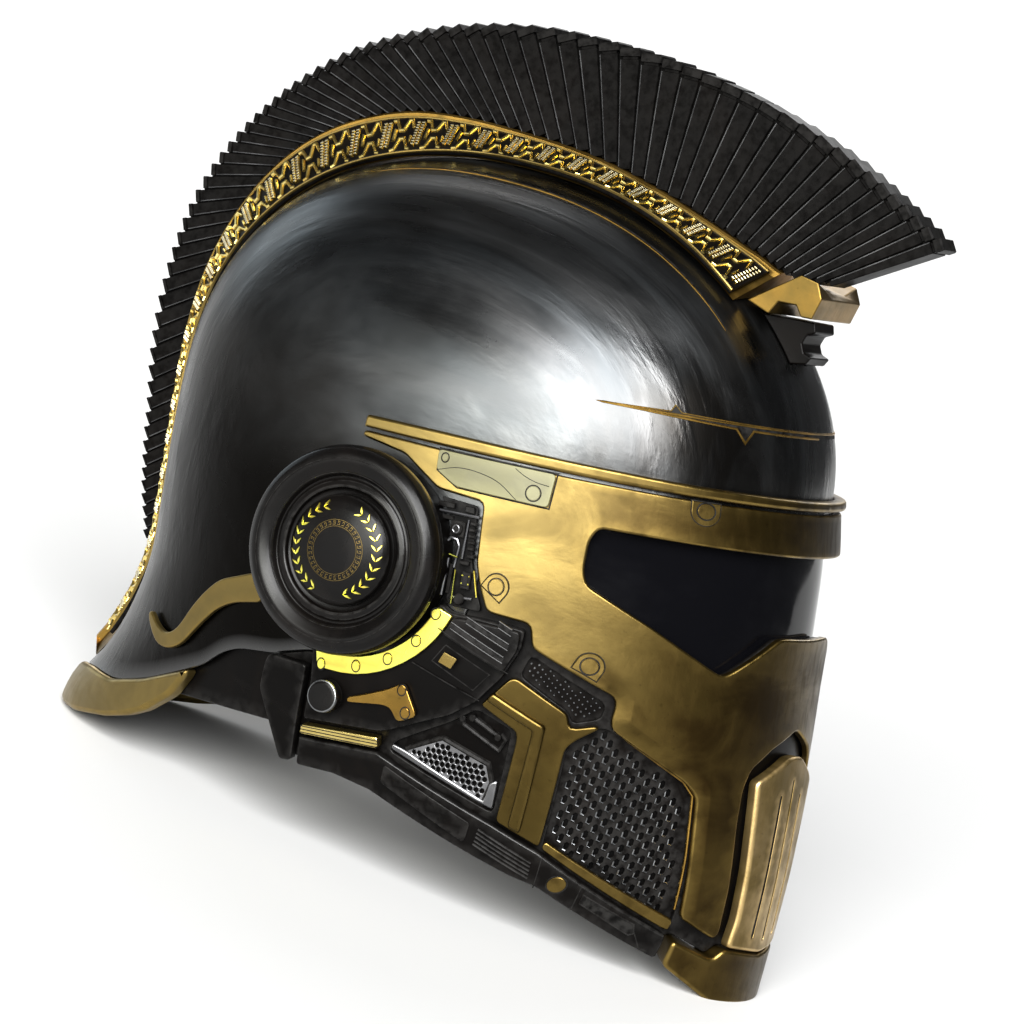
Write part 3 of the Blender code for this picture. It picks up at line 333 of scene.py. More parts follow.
# Ear cover: turned profiles as radius and depth in mm, from the axis out and back
DISC_ROWS = [
    (0.01, 9), (25.2, 9), (25.8, 11.6), (26.6, 12), (28.6, 11.4), (29.4, 10.6), (30.4, 10.4),
    (31.4, 12.4), (32.8, 13.6), (36.4, 15), (39.6, 14.6), (42.4, 12.4), (43.5, 8.4),
    (43.3, 4.4), (40.5, 0), (0.01, 0),
]
CAP_ROWS = [
    (0.01, 17.5), (6, 17.45), (12, 17.1), (17, 16.3), (20.4, 15.1), (22.6, 13.2), (23.2, 11),
    (23.2, 8.7), (0.01, 8.7),
]
KNOB_ROWS = [(0.01, 5.5), (5, 5.5), (6.3, 5.2), (6.9, 4.4), (7.2, 2.2), (7.3, 0), (0.01, 0)]
KNOB_RING = [(6.2, 4.6), (6.2, 5.35), (6.6, 5.25), (6.9, 4.6), (6.2, 4.6)]
DISC_RING = [(-0.16, -0.4), (-0.16, 0.1), (0.16, 0.1), (0.16, -0.4), (-0.16, -0.4)]
DISC_RING_PLACES = [(43.3, 8.2), (37.8, 14.9), (32, 12.9), (26.6, 12)]
LEAF = [(0, -0.3), (1.35, 0.6), (2.3, 2.7), (0.55, 1.5)]
WREATH_RADIUS = 18.6 * MM
WREATH_ANGLES = (28, 158)
KEY_RING_REPEATS = 34
# One repeat of the key ring: share of the repeat, radius in mm
KEY_RING_LINE = [(0, 10.6), (0.55, 10.6), (0.55, 12), (0.2, 12), (0.2, 11.3)]
KEY_RING_BORDERS = (9.9, 12.6)

STEEL, GOLD, BLACK = "black_steel", "aged_gold", "satin_black"
BRIGHT, GLASS, MESH, KHAKI = "bright_brass", "visor_glass", "steel_mesh", "khaki_enamel"


def height(percent):
    """Height above the ears, from percent of the crown's rise or of the chin's drop."""
    percent = np.asarray(percent, float) / 100
    return np.where(percent > 0, percent * CROWN_RISE, percent * CHIN_DROP)


def one_long(vectors):
    return vectors / np.linalg.norm(vectors, axis=-1, keepdims=True)


def run_along(line):
    """How far along a line each of its points lies."""
    return np.concatenate([[0], np.cumsum(np.linalg.norm(np.diff(line, axis=0), axis=1))])


def parabolas(before, corners, after, count):
    """Points on the parabola round each corner, from the place before it to the one after."""
    t = np.linspace(0, 1, count)[:, None, None]
    curve = (1 - t) ** 2 * before + 2 * t * (1 - t) * corners + t**2 * after
    return curve.transpose(1, 0, 2).reshape(-1, 2)


def along(rows, at, column):
    """A table's column as one smooth curve: cubics whose slopes are the rows' mean slopes."""
    keys, values = rows[:, 0], rows[:, column]
    slopes = np.gradient(values, keys)
    at = np.clip(at, keys[0], keys[-1])
    row = np.clip(np.searchsorted(keys, at) - 1, 0, len(keys) - 2)
    span = keys[row + 1] - keys[row]
    t = (at - keys[row]) / span
    return (
        (1 + 2 * t) * (1 - t) ** 2 * values[row]
        + t * (1 - t) ** 2 * span * slopes[row]
        + t * t * (3 - 2 * t) * values[row + 1]
        + t * t * (t - 1) * span * slopes[row + 1]
    )


def level(points):
    """Below zero inside the head form, above zero outside.

    Across over side and forward over reach, each to the power ROUNDNESS, are summed. The sum, to
    the power p / ROUNDNESS, plus the rise above the dome's spring to the power p, less one, is
    the level.
    """
    across, forward, up = np.abs(points[..., 0]), -points[..., 1], points[..., 2]
    share = np.where(up > 0, up / CROWN_RISE, up / CHIN_DROP)
    reach = np.where(
        forward > 0, FRONT_REACH * along(FORM, share, 1), BACK_REACH * along(FORM, share, 3)
    )
    side = HALF_WIDTH * along(FORM, share, 2)
    to_back = 0.5 - 0.5 * np.cos(np.arctan2(across, forward))
    spring = DOME_SPRING_FRONT + (DOME_SPRING_BACK - DOME_SPRING_FRONT) * to_back
    power = DOME_POWER_FRONT + (DOME_POWER_BACK - DOME_POWER_FRONT) * to_back
    rise = np.clip((up / CROWN_RISE - spring) / (1 - spring), 0, None)
    plan = (across / side) ** ROUNDNESS + (np.abs(forward) / reach) ** ROUNDNESS
    return plan ** (power / ROUNDNESS) + rise**power - 1


def meet(starts, directions):
    """Where rays from inside the head form leave it, found by halving."""
    near = np.zeros(starts.shape[:-1])
    far = np.full(starts.shape[:-1], 3 * FRONT_REACH)
    for _ in range(HALVINGS):
        middle = (near + far) / 2
        within = level(starts + middle[..., None] * directions) < 0
        near, far = np.where(within, middle, near), np.where(within, far, middle)
    return starts + near[..., None] * directions


def outward(points):
    """The head form's normals: the level's slope along each axis, made one long."""
    step = 0.2 * MM
    slope = [level(points + step * axis) - level(points - step * axis) for axis in np.eye(3)]
    return one_long(np.stack(slope, axis=-1))


def around(angle, up):
    """Points on the head form at these angles (radians) and heights (metres)."""
    angle, up = np.broadcast_arrays(angle, up)
    zero = np.zeros(angle.shape)
    ways = np.stack([-np.sin(angle), -np.cos(angle), zero], axis=-1)
    return meet(np.stack([zero, zero, up], axis=-1), ways)


UNROLL = (FRONT_REACH + HALF_WIDTH) / 2


def flat(rows):
    """An outline's rows as points on the unrolled head form: angle times a mean radius, height."""
    rows = np.array(rows, float)
    return np.stack([np.radians(rows[:, 0]) * UNROLL, height(rows[:, 1])], axis=-1)


def on_head(points, lift):
    """Points of the unrolled head form on the real one, this far outside it."""
    places = around(points[..., 0] / UNROLL, points[..., 1])
    return places + np.asarray(lift)[..., None] * outward(places)


def on_top(points, lift):
    """Points given across and back on the dome above them, this far outside it."""
    starts = np.column_stack([points, np.full(len(points), UNDER_DOME)])
    places = meet(starts, np.broadcast_to((0, 0, 1.0), starts.shape))
    return places + np.asarray(lift)[..., None] * outward(places)


def whole(rows, middle=0):
    """A half outline with its mirror image about the middle plane at the front, or at the back."""
    other = [(2 * middle - angle, up) for angle, up in rows if angle != middle]
    return list(rows) + other[::-1]


def ear_arc(radius, start, end, steps=13):
    """Rows round the ear's axis at this radius, from one angle to another, up from the front."""
    turn = np.radians(np.linspace(start, end, steps))
    forward, up = radius * np.cos(turn), radius * np.sin(turn)
    starts = np.stack([np.zeros(steps), -forward, up], axis=-1)
    sides = meet(starts, np.broadcast_to((-1.0, 0, 0), starts.shape))
    angle = np.degrees(np.arctan2(-sides[:, 0], -sides[:, 1]))
    share = np.where(up > 0, up / CROWN_RISE, up / CHIN_DROP)
    return list(zip(angle, 100 * share))


def stand(points):
    """Upright points as the helmet stands: turned back about X by PITCH, then to the ear axis."""
    return points @ TIPPED + EAR_PLACE


class Shape:
    """Points with quads and triangles, how worn each point is, and normals where they matter."""

    def __init__(self, points, quads=(), triangles=(), wear=None, normals=None):
        self.points = np.asarray(points, float).reshape(-1, 3)
        self.quads = np.asarray(quads, int).reshape(-1, 4)
        self.triangles = np.asarray(triangles, int).reshape(-1, 3)
        self.wear = np.zeros(len(self.points)) if wear is None else np.asarray(wear, float)
        self.normals = normals

    def mirrored(self):
        normals = None if self.normals is None else self.normals * (-1, 1, 1)
        return Shape(
            self.points * (-1, 1, 1), self.quads[:, ::-1], self.triangles[:, ::-1], self.wear,
            normals,
        )

    def moved(self, change):
        """The same faces over points changed by a function."""
        return Shape(change(self.points), self.quads, self.triangles, self.wear)


def joined(shapes):
    first = np.cumsum([0] + [len(shape.points) for shape in shapes[:-1]])
    normals = None
    if all(shape.normals is not None for shape in shapes):
        normals = np.concatenate([shape.normals for shape in shapes])
    return Shape(
        np.concatenate([shape.points for shape in shapes]),
        np.concatenate([shape.quads + start for shape, start in zip(shapes, first)]),
        np.concatenate([shape.triangles + start for shape, start in zip(shapes, first)]),
        np.concatenate([shape.wear for shape in shapes]), normals,
    )


def repeated(shape, places):
    """Copies of a small shape: places is one set of points for each copy."""
    copies, size = places.shape[:2]
    first = (np.arange(copies) * size)[:, None, None]
    return Shape(
        places, (shape.quads[None] + first).reshape(-1, 4),
        (shape.triangles[None] + first).reshape(-1, 3), np.tile(shape.wear, copies),
    )


def grid(points, closed_rows=False, closed_columns=False, wear=None, caps=False):
    """A surface over a grid of points, row by row. Caps close the two ends of a closed ring."""
    points = np.asarray(points)
    rows, columns = points.shape[:2]
    row = np.arange(rows if closed_rows else rows - 1)
    column = np.arange(columns if closed_columns else columns - 1)
    here, there = row[:, None] * columns, (row[:, None] + 1) % rows * columns
    after = (column + 1) % columns
    quads = np.stack([here + column, here + after, there + after, there + column], axis=-1)
    triangles = []
    if caps:
        fan = np.arange(1, columns - 1)
        start = (rows - 1) * columns
        triangles = np.concatenate([
            np.stack([0 * fan, fan + 1, fan], axis=-1),
            np.stack([0 * fan + start, fan + start, fan + 1 + start], axis=-1),
        ])
    return Shape(points.reshape(-1, 3), quads.reshape(-1, 4), triangles, wear)


def enter(name, mesh, finish, replaces):
    """Puts a mesh with its finish into the scene, in place of these nodes of the frame."""
    mesh.materials.append(finishes()[finish])
    piece = bpy.data.objects.new(name, mesh)
    bpy.context.scene.collection.objects.link(piece)
    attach(piece, "root")
    if replaces:
        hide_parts(*replaces)
    return piece


def add_piece(name, shape, finish, replaces=(), sharp=35):
    """Adds a shape as a piece of the helmet, standing where the frame stands."""
    mesh = bpy.data.meshes.new(name)
    points = stand(shape.points)
    points[:, 2] = np.maximum(points[:, 2], 0)
    mesh.vertices.add(len(points))
    mesh.vertices.foreach_set("co", points.ravel())
    corners = np.concatenate([shape.quads.ravel(), shape.triangles.ravel()])
    sizes = np.repeat([4, 3], [len(shape.quads), len(shape.triangles)])
    mesh.loops.add(len(corners))
    mesh.loops.foreach_set("vertex_index", corners)
    mesh.polygons.add(len(sizes))
    mesh.polygons.foreach_set("loop_start", np.concatenate([[0], np.cumsum(sizes)[:-1]]))
    mesh.polygons.foreach_set("loop_total", sizes)
    mesh.update(calc_edges=True)
    mesh.validate()
    wear = mesh.attributes.new("wear", "FLOAT", "POINT")
    wear.data.foreach_set("value", shape.wear)
    mesh.shade_smooth()
    if shape.normals is None:
        mesh.set_sharp_from_angle(angle=math.radians(sharp))
    else:
        mesh.normals_split_custom_set_from_vertices(shape.normals @ TIPPED)
    enter(name, mesh, finish, replaces)


def add_pair(name, shape, finish, replaces=()):
    """A piece on the wearer's right and its mirror image on the left."""
    for side, form in (("right", shape), ("left", shape.mirrored())):
        nodes = [f"{node}_{side}" for node in replaces]
        add_piece(f"{name}_{side}", form, finish, nodes)


def turns_left(points):
    following = np.roll(points, -1, axis=0)
    return np.sum(points[:, 0] * following[:, 1] - following[:, 0] * points[:, 1]) > 0


def evened(corners, radius, step):
    """A closed outline with rounded corners, as points at even steps along it.

    Each corner gives way to a parabola between the points a radius before and after it.
    """
    if not turns_left(corners):
        corners = corners[::-1]
    ends = []
    for other in (np.roll(corners, 1, axis=0), np.roll(corners, -1, axis=0)):
        way = other - corners
        length = np.linalg.norm(way, axis=1, keepdims=True)
        ends.append(corners + way * np.minimum(radius / length, 0.45))
    curve = parabolas(ends[0], corners, ends[1], CORNER_POINTS)
    curve = np.concatenate([curve, curve[:1]])
    run = run_along(curve)
    at = np.linspace(0, run[-1], max(8, int(run[-1] / step)), endpoint=False)
    return np.stack([np.interp(at, run, curve[:, 0]), np.interp(at, run, curve[:, 1])], axis=-1)


def inset(loop, distance):
    """A closed line moved to its left by a distance, edge by edge."""
    edges = one_long(np.roll(loop, -1, axis=0) - loop)
    left = np.stack([-edges[:, 1], edges[:, 0]], axis=-1)
    before = np.roll(left, 1, axis=0)
    corner = (left + before) / np.maximum(1 + np.sum(left * before, axis=1), 0.5)[:, None]
    return loop + distance * corner


def shifted(line, distance):
    """An open line moved to its left by a distance."""
    way = one_long(np.gradient(line, axis=0))
    return line + distance * np.stack([-way[:, 1], way[:, 0]], axis=-1)


def inside(points, outline):
    """Which points lie inside a closed outline, by counting the edges on their right."""
    start, end = outline, np.roll(outline, -1, axis=0)
    x, y = points[:, None, 0], points[:, None, 1]
    spans = (start[:, 1] > y) != (end[:, 1] > y)
    rise = np.where(end[:, 1] == start[:, 1], 1, end[:, 1] - start[:, 1])
    at = start[:, 0] + (y - start[:, 1]) / rise * (end[:, 0] - start[:, 0])
    return np.sum(spans & (x < at), axis=1) % 2 == 1


def edge_distance(points, line, closed=True):
    """How far points are from the nearest edge of a line."""
    start, end = (line, np.roll(line, -1, axis=0)) if closed else (line[:-1], line[1:])
    run = end - start
    t = np.sum((points[:, None] - start) * run, axis=2) / np.sum(run * run, axis=1)
    nearest = start + np.clip(t, 0, 1)[..., None] * run
    return np.linalg.norm(points[:, None] - nearest, axis=2).min(axis=1)


def filled(loops, creases, step):
    """Triangles between an outline and the holes in it, over a staggered grid of points.

    Gives the points, the triangles, and for each loop the numbers of its points.
    """
    outline = loops[0]
    low, high = outline.min(axis=0), outline.max(axis=0)
    x = np.arange(low[0] + step / 2, high[0], step)
    y = np.arange(low[1] + step / 2, high[1], step * 0.87)
    spread = x[None, :] + step / 2 * (np.arange(len(y)) % 2)[:, None]
    inner = np.stack([spread, np.broadcast_to(y[:, None], spread.shape)], axis=-1).reshape(-1, 2)
    inner = inner[inside(inner, outline)]
    inner = inner[edge_distance(inner, outline) > 0.4 * step]
    for hole in loops[1:]:
        near = np.all(np.abs(inner - hole.mean(axis=0)) < np.ptp(hole, axis=0) + step, axis=1)
        keep = np.ones(len(inner), bool)
        if near.any():
            spot = inner[near]
            keep[near] = ~inside(spot, hole) & (edge_distance(spot, hole) > 0.35 * step)
        inner = inner[keep]
    for crease in creases:
        inner = inner[edge_distance(inner, crease, closed=False) > 0.35 * step]
    edges, first, numbers = [], 0, []
    for line, closed in [(loop, True) for loop in loops] + [(crease, False) for crease in creases]:
        count = len(line)
        number = first + np.arange(count)
        numbers.append(number)
        edges += list(zip(number[:-1].tolist(), number[1:].tolist()))
        if closed:
            edges.append((int(number[-1]), int(number[0])))
        first += count
    points = np.concatenate([*loops, *creases, inner])
    found = delaunay_2d_cdt([Vector(point) for point in points.tolist()], edges, [], 0, 1e-8)
    new_number = np.zeros(len(points), int)
    for new, old in enumerate(found[3]):
        new_number[old] = new
    places = np.array([tuple(point) for point in found[0]])
    faces = np.array([tuple(face) for face in found[2]])
    centres = places[faces].mean(axis=1)
    keep = inside(centres, outline)
    for hole in loops[1:]:
        near = np.all(np.abs(centres - hole.mean(axis=0)) < np.ptp(hole, axis=0), axis=1)
        keep[near] &= ~inside(centres[near], hole)
    return places, faces[keep], [new_number[number] for number in numbers[: len(loops)]]


def point_normals(points, triangles):
    """Each point's normal: the sum of its triangles' normals, each as long as its area."""
    a, b, c = (points[triangles[:, k]] for k in range(3))
    normal = np.cross(b - a, c - a)
    total = np.zeros(points.shape)
    for k in range(3):
        np.add.at(total, triangles[:, k], normal)
    return total / np.maximum(np.linalg.norm(total, axis=1, keepdims=True), 1e-12)


def plate(
    rows, lift, wall, bevel, gap=0.4 * MM, radius=2 * MM, step=4 * MM, holes=(),
    relief=None, creases=(), pitch=1.6 * MM, steps=3, hole_bevel=None,
):
    """A plate cut to an outline on the head form, with rounded edges and an even wall.

    Its top is the outline, moved in by the bevel, filled with triangles and lifted by lift plus
    wall plus the relief. The edge is a quarter circle carried round the outline: moved in by
    bevel times one minus sine, and lowered by bevel times one minus cosine. Then it drops to lift.
    """
    outer = inset(evened(flat(rows), radius, pitch), gap)
    loops = [outer] + [hole if not turns_left(hole) else hole[::-1] for hole in holes]
    bevels = [bevel] + [bevel if hole_bevel is None else hole_bevel] * (len(loops) - 1)
    tops = [inset(loop, bevel) for loop, bevel in zip(loops, bevels)]
    spots, faces, numbers = filled(tops, creases, step)
    raised = (lambda spot: 0 * spot[:, 0]) if relief is None else relief
    top = on_head(spots, lift + wall + raised(spots))
    low = on_head(spots, np.full(len(spots), float(lift)))
    faces = faces[:, ::-1]
    top_normals = point_normals(top, faces)
    away = np.full(len(spots), 1.0)
    for loop in loops:
        away = np.minimum(away, edge_distance(spots, loop))
    points, normals = [top], [top_normals]
    wear = [np.clip(1 - away / WORN_WIDTH, 0, 1) ** 2]
    quads, first = [], len(top)
    low_first = len(top) + sum(len(loop) for loop in loops) * (steps + 1)
    for loop, top_loop, number, bevel in zip(loops, tops, numbers, bevels):
        count = len(loop)
        shoulder = np.full(count, lift + wall - bevel)
        sideways = on_head(inset(loop, -0.5 * MM), shoulder) - on_head(loop, shoulder)
        upright = top_normals[number]
        sideways -= np.sum(sideways * upright, axis=1, keepdims=True) * upright
        sideways = one_long(sideways)
        previous = number
        extra = raised(top_loop)
        for turn in np.linspace(0, math.pi / 2, steps + 1)[1:]:
            spot = inset(loop, bevel * (1 - math.sin(turn)))
            points.append(on_head(spot, lift + wall + extra - bevel * (1 - math.cos(turn))))
            normals.append(math.cos(turn) * upright + math.sin(turn) * sideways)
            wear.append(np.full(count, 1.0 if turn < 1.2 else 0.4))
            ring = first + np.arange(count)
            quads.append((previous, ring))
            previous, first = ring, first + count
        points.append(on_head(loop, np.full(count, float(lift))))
        normals.append(sideways)
        wear.append(np.zeros(count))
        ring = first + np.arange(count)
        quads.append((previous, ring))
        quads.append((ring, low_first + number))
        first += count
    points.append(low)
    normals.append(-top_normals)
    wear.append(np.zeros(len(low)))
    strips = [
        np.stack([here, np.roll(here, -1), np.roll(there, -1), there], axis=-1)
        for here, there in quads
    ]
    return Shape(
        np.concatenate(points), np.concatenate(strips),
        np.concatenate([faces, faces[:, ::-1] + low_first]), np.concatenate(wear),
        np.concatenate(normals),
    )


def add_plate(name, finish, node, rows, lift, wall, bevel, **rest):
    """A plate on both sides of the head, in place of a node of the frame or of none."""
    add_pair(name, plate(rows, lift, wall, bevel, **rest), finish, [node] if node else ())


def bead(line, half_width, rise, closed=False, sides=5):
    """A half-round cord along a flat line: across is half_width times cosine, rise is sine.

    Points come as two flat lengths and a height, to be put on a surface by another function.
    """
    line = np.asarray(line, float)
    if closed:
        before, after = np.roll(line, 1, axis=-2), np.roll(line, -1, axis=-2)
    else:
        before = np.concatenate([line[..., :1, :], line[..., :-1, :]], axis=-2)
        after = np.concatenate([line[..., 1:, :], line[..., -1:, :]], axis=-2)
    come, go = line - before, after - line
    come_length = np.linalg.norm(come, axis=-1, keepdims=True)
    go_length = np.linalg.norm(go, axis=-1, keepdims=True)
    come_way = come / np.maximum(come_length, 1e-9)
    go_way = go / np.maximum(go_length, 1e-9)
    come = np.where(come_length > 0, come_way, go_way)
    go = np.where(go_length > 0, go_way, come)
    way = one_long(come + go)
    widen = 1 / np.maximum(np.sum(way * come, axis=-1, keepdims=True), 0.5)
    side = np.stack([-way[..., 1], way[..., 0]], axis=-1) * widen
    turn = np.linspace(0, math.pi, sides)
    across = (half_width * np.cos(turn))[:, None]
    spots = line[..., None, :] + across * side[..., None, :]
    lifted = np.broadcast_to(rise * np.sin(turn), spots.shape[:-1]) - SUNK * (np.sin(turn) < 0.01)
    points = np.concatenate([spots, lifted[..., None]], axis=-1)
    return grid(points[..., ::-1, :], closed, True, np.ones(points[..., 0].size), caps=not closed)


def block(outline, rise, bevel):
    """A small raised block: its outline at the foot, again below the bevel, and moved in on top."""
    outline = np.asarray(outline, float)
    if not turns_left(outline):
        outline = outline[::-1]
    rings = []
    for inward, up in ((0, -SUNK), (0, rise - bevel), (bevel, rise)):
        spot = inset(outline, inward)
        rings.append(np.column_stack([spot, np.full(len(spot), up)]))
    wear = np.repeat([0.0, 1.0, 0.6], len(outline))
    return grid(np.array(rings)[:, ::-1], False, True, wear, caps=True)


def disc(radius, sides):
    turn = np.linspace(0, 2 * math.pi, sides, endpoint=False)
    return radius * np.stack([np.cos(turn), np.sin(turn)], axis=-1)


def box_outline(width, tall):
    return np.array([(-1, -1), (1, -1), (1, 1), (-1, 1)]) * (width / 2, tall / 2)


def set_down(shape, middle, turn=0.0):
    """A flat shape turned by an angle in degrees and moved to a middle."""
    cosine, sine = math.cos(math.radians(turn)), math.sin(math.radians(turn))
    spin = np.array([(cosine, sine, 0), (-sine, cosine, 0), (0, 0, 1)])
    return shape.moved(lambda points: points @ spin + (middle[0], middle[1], 0))


def laid(shape, lift, place=on_head):
    """A flat shape put on the head form, with its heights above this lift."""
    return shape.moved(lambda points: place(points[:, :2], lift + points[:, 2]))


def resampled(line, step, closed=False):
    """A line's points at even steps along it, its corners kept."""
    line = np.asarray(line, float)
    ends = np.roll(line, -1, axis=0) if closed else line[1:]
    starts = line if closed else line[:-1]
    spans = []
    for start, end in zip(starts, ends):
        count = max(1, int(np.linalg.norm(end - start) / step))
        spans.append(start + (end - start) * (np.arange(count) / count)[:, None])
    if not closed:
        spans.append(line[-1:])
    return np.concatenate(spans)


def strand(rows, lift, half_width, rise, closed=False, sides=5):
    """A cord laid on the head along a line of rows."""
    line = resampled(flat(rows), STRAND_STEP, closed)
    return laid(bead(line, half_width, rise, closed, sides), lift)


def strands(lines, lift, half_width, rise):
    """The same cord along several lines of rows."""
    return joined([strand(rows, lift, half_width, rise) for rows in lines])


def seams(lines, lift, width=0.5 * MM):
    """Dark lines let into a surface."""
    return joined([strand(rows, lift, width / 2, 0.07 * MM, sides=4) for rows in lines])


def scattered(unit, spots, lift):
    """The same small shape at several flat spots, laid on the head."""
    steps = np.column_stack([spots, np.zeros(len(spots))])
    return laid(repeated(unit, unit.points[None] + steps[:, None]), lift)


def bosses(rows, outline, rise, bevel, lift):
    """The same small block at several places on the head."""
    return scattered(block(outline, rise, bevel), flat(rows), lift)


def staggered(rows, pitch, row_pitch, margin):
    """Middles of a staggered field of holes inside an outline, this far from its edge."""
    outline = evened(flat(rows), 1 * MM, 2 * MM)
    low, high = outline.min(axis=0), outline.max(axis=0)
    x = np.arange(low[0], high[0], pitch)
    y = np.arange(low[1], high[1], row_pitch)
    spots = np.stack(np.meshgrid(x, y), axis=-1)
    spots[1::2, :, 0] += pitch / 2
    spots = spots.reshape(-1, 2)
    spots = spots[inside(spots, outline)]
    return spots[edge_distance(spots, outline) > margin]


def screws(places, lift):
    """Screw heads on the head form, each a flat disc with a dark ring round it.

    Each row of places is an angle, a height and a radius in millimetres.
    """
    heads, rings = [], []
    for angle, up, radius in places:
        spot = flat([(angle, up)])[0]
        heads.append(laid(set_down(block(disc(radius * MM, 22), 0.35 * MM, 0.15 * MM), spot), lift))
        ring = bead(disc((radius + 0.35) * MM, 26) + spot, 0.32 * MM, 0.12 * MM, closed=True)
        rings.append(laid(ring, lift))
    return joined(heads), joined(rings)


class Socket:
    """A shader socket that takes part in sums."""

    def __init__(self, finish, link):
        self.finish, self.link = finish, link

    def sum(self, operation, first, second):
        return self.finish.node("ShaderNodeMath", {"operation": operation}, {0: first, 1: second})

    def __add__(self, other):
        return self.sum("ADD", self, other)

    def __sub__(self, other):
        return self.sum("SUBTRACT", self, other)

    def __rsub__(self, other):
        return self.sum("SUBTRACT", other, self)

    def __mul__(self, other):
        return self.sum("MULTIPLY", self, other)

    __radd__ = __add__
    __rmul__ = __mul__

    def between(self, low, high):
        """Zero at low and below, one at high and above, in a smooth step."""
        settings = {"interpolation_type": "SMOOTHSTEP"}
        values = {"Value": self, "From Min": low, "From Max": high}
        return self.finish.node("ShaderNodeMapRange", settings, values)


class Finish:
    """A material under construction."""

    def __init__(self, name, **constants):
        self.material = bpy.data.materials.new(name)
        self.material.use_nodes = True
        self.tree = self.material.node_tree
        self.shader = self.tree.nodes["Principled BSDF"]
        self.set(**constants)
        self.place = self.node("ShaderNodeTexCoord", output="Object")

    def node(self, kind, settings=None, values=None, output=0):
        """Any node: its settings first, then the values or links of its sockets."""
        node = self.tree.nodes.new(kind)
        for key, value in (settings or {}).items():
            setattr(node, key, value)
        for key, value in (values or {}).items():
            self.feed(node.inputs[key], value)
        return Socket(self, node.outputs[output])

    def feed(self, socket, value):
        if isinstance(value, Socket):
            self.tree.links.new(value.link, socket)
        elif hasattr(value, "__len__") and len(value) == 3 and len(socket.default_value) == 4:
            socket.default_value = (*value, 1)
        else:
            socket.default_value = value

    def set(self, **values):
        for key, value in values.items():
            self.feed(self.shader.inputs[key.replace("_", " ").title().replace("Ior", "IOR")], value)

    def attribute(self, name):
        return self.node("ShaderNodeAttribute", {"attribute_name": name}, output="Fac")

    def axis(self, name):
        """One of the object's own coordinates, in metres."""
        return self.node("ShaderNodeSeparateXYZ", None, {"Vector": self.place}, output=name)

    def noise(self, scale, detail, stretch=(1, 1, 1), turn=(0, 0, 0), distortion=0.0):
        """Clouds of noise, with this many to the metre, stretched along turned axes."""
        place = self.place
        if stretch != (1, 1, 1) or turn != (0, 0, 0):
            turned = [math.radians(angle) for angle in turn]
            values = {"Vector": place, "Rotation": turned, "Scale": stretch}
            place = self.node("ShaderNodeMapping", None, values)
        values = {
            "Vector": place, "Scale": float(scale), "Detail": float(detail),
            "Roughness": NOISE_ROUGHNESS, "Distortion": float(distortion),
        }
        return self.node("ShaderNodeTexNoise", None, values)

    def mix(self, share, first, second):
        """One colour over another by a share."""
        settings = {"data_type": "RGBA"}
        return self.node("ShaderNodeMix", settings, {"Factor": share, 6: first, 7: second}, output=2)

    def layers(self, colour, *rows):
        """A colour with others over it: each row is a share and a colour."""
        for share, over in rows:
            colour = self.mix(share, colour, over)
        return colour

    def bump(self, rise, depth, strength):
        values = {"Strength": strength, "Distance": depth, "Height": rise}
        self.set(Normal=self.node("ShaderNodeBump", None, values, output="Normal"))


def shaded(colour, *factors):
    """A colour times one factor, or times one for each channel."""
    if len(factors) == 1:
        factors = 3 * factors
    return tuple(channel * factor for channel, factor in zip(colour, factors))


def make_black_steel(base):
    """Burnished black steel: soft clouds, brushed smears one way and across, and fine scratches.

    Low at the back it is darker with a painted shade, where the height less half the way back is under
    a limit.
    """
    finish = Finish("burnished_black_steel", metallic=1.0)
    clouds = finish.noise(14, 5).between(0.35, 0.7)
    smears = finish.noise(34, 6, (1, 0.22, 0.5), (20, 0, 35), 0.6).between(0.4, 0.72)
    strokes = finish.noise(150, 5, (1, 0.05, 0.2), (35, 10, -25), 0.2).between(0.45, 0.75)
    sweeps = finish.noise(64, 6, (1, 0.07, 0.22), (52, 0, 24), 0.3).between(0.42, 0.66)
    cool, warm = shaded(base, 0.9, 0.99, 1.05), shaded(base, 0.75, 0.68, 0.6)
    colour = finish.layers(
        warm, (finish.noise(7, 3).between(0.4, 0.6), cool), (clouds * 0.6, shaded(base, 1.2)),
        (smears * 0.55, shaded(base, 1.9)), (strokes * 0.4, shaded(base, 2.8)),
        (sweeps * 0.3, shaded(cool, 2)),
    )
    # painted shade: dark low at the back, full colour higher up and towards the front
    outside_painted_shade = (finish.axis("Z") - finish.axis("Y") * 0.5 + clouds * 0.02).between(0.10, 0.21)
    colour = finish.mix(outside_painted_shade, shaded(warm, 0.16), colour)
    wear = finish.attribute("wear")
    finish.set(
        Base_Color=finish.mix(wear * 0.5, colour, shaded(base, 4.5)),
        Roughness=0.22 + 0.07 * clouds + 0.10 * smears + 0.08 * sweeps - 0.05 * strokes,
    )
    finish.bump(smears * 0.6 + strokes * 0.7 + sweeps * 0.5 + clouds * 0.4, 0.2 * MM, 0.8)
    return finish.material


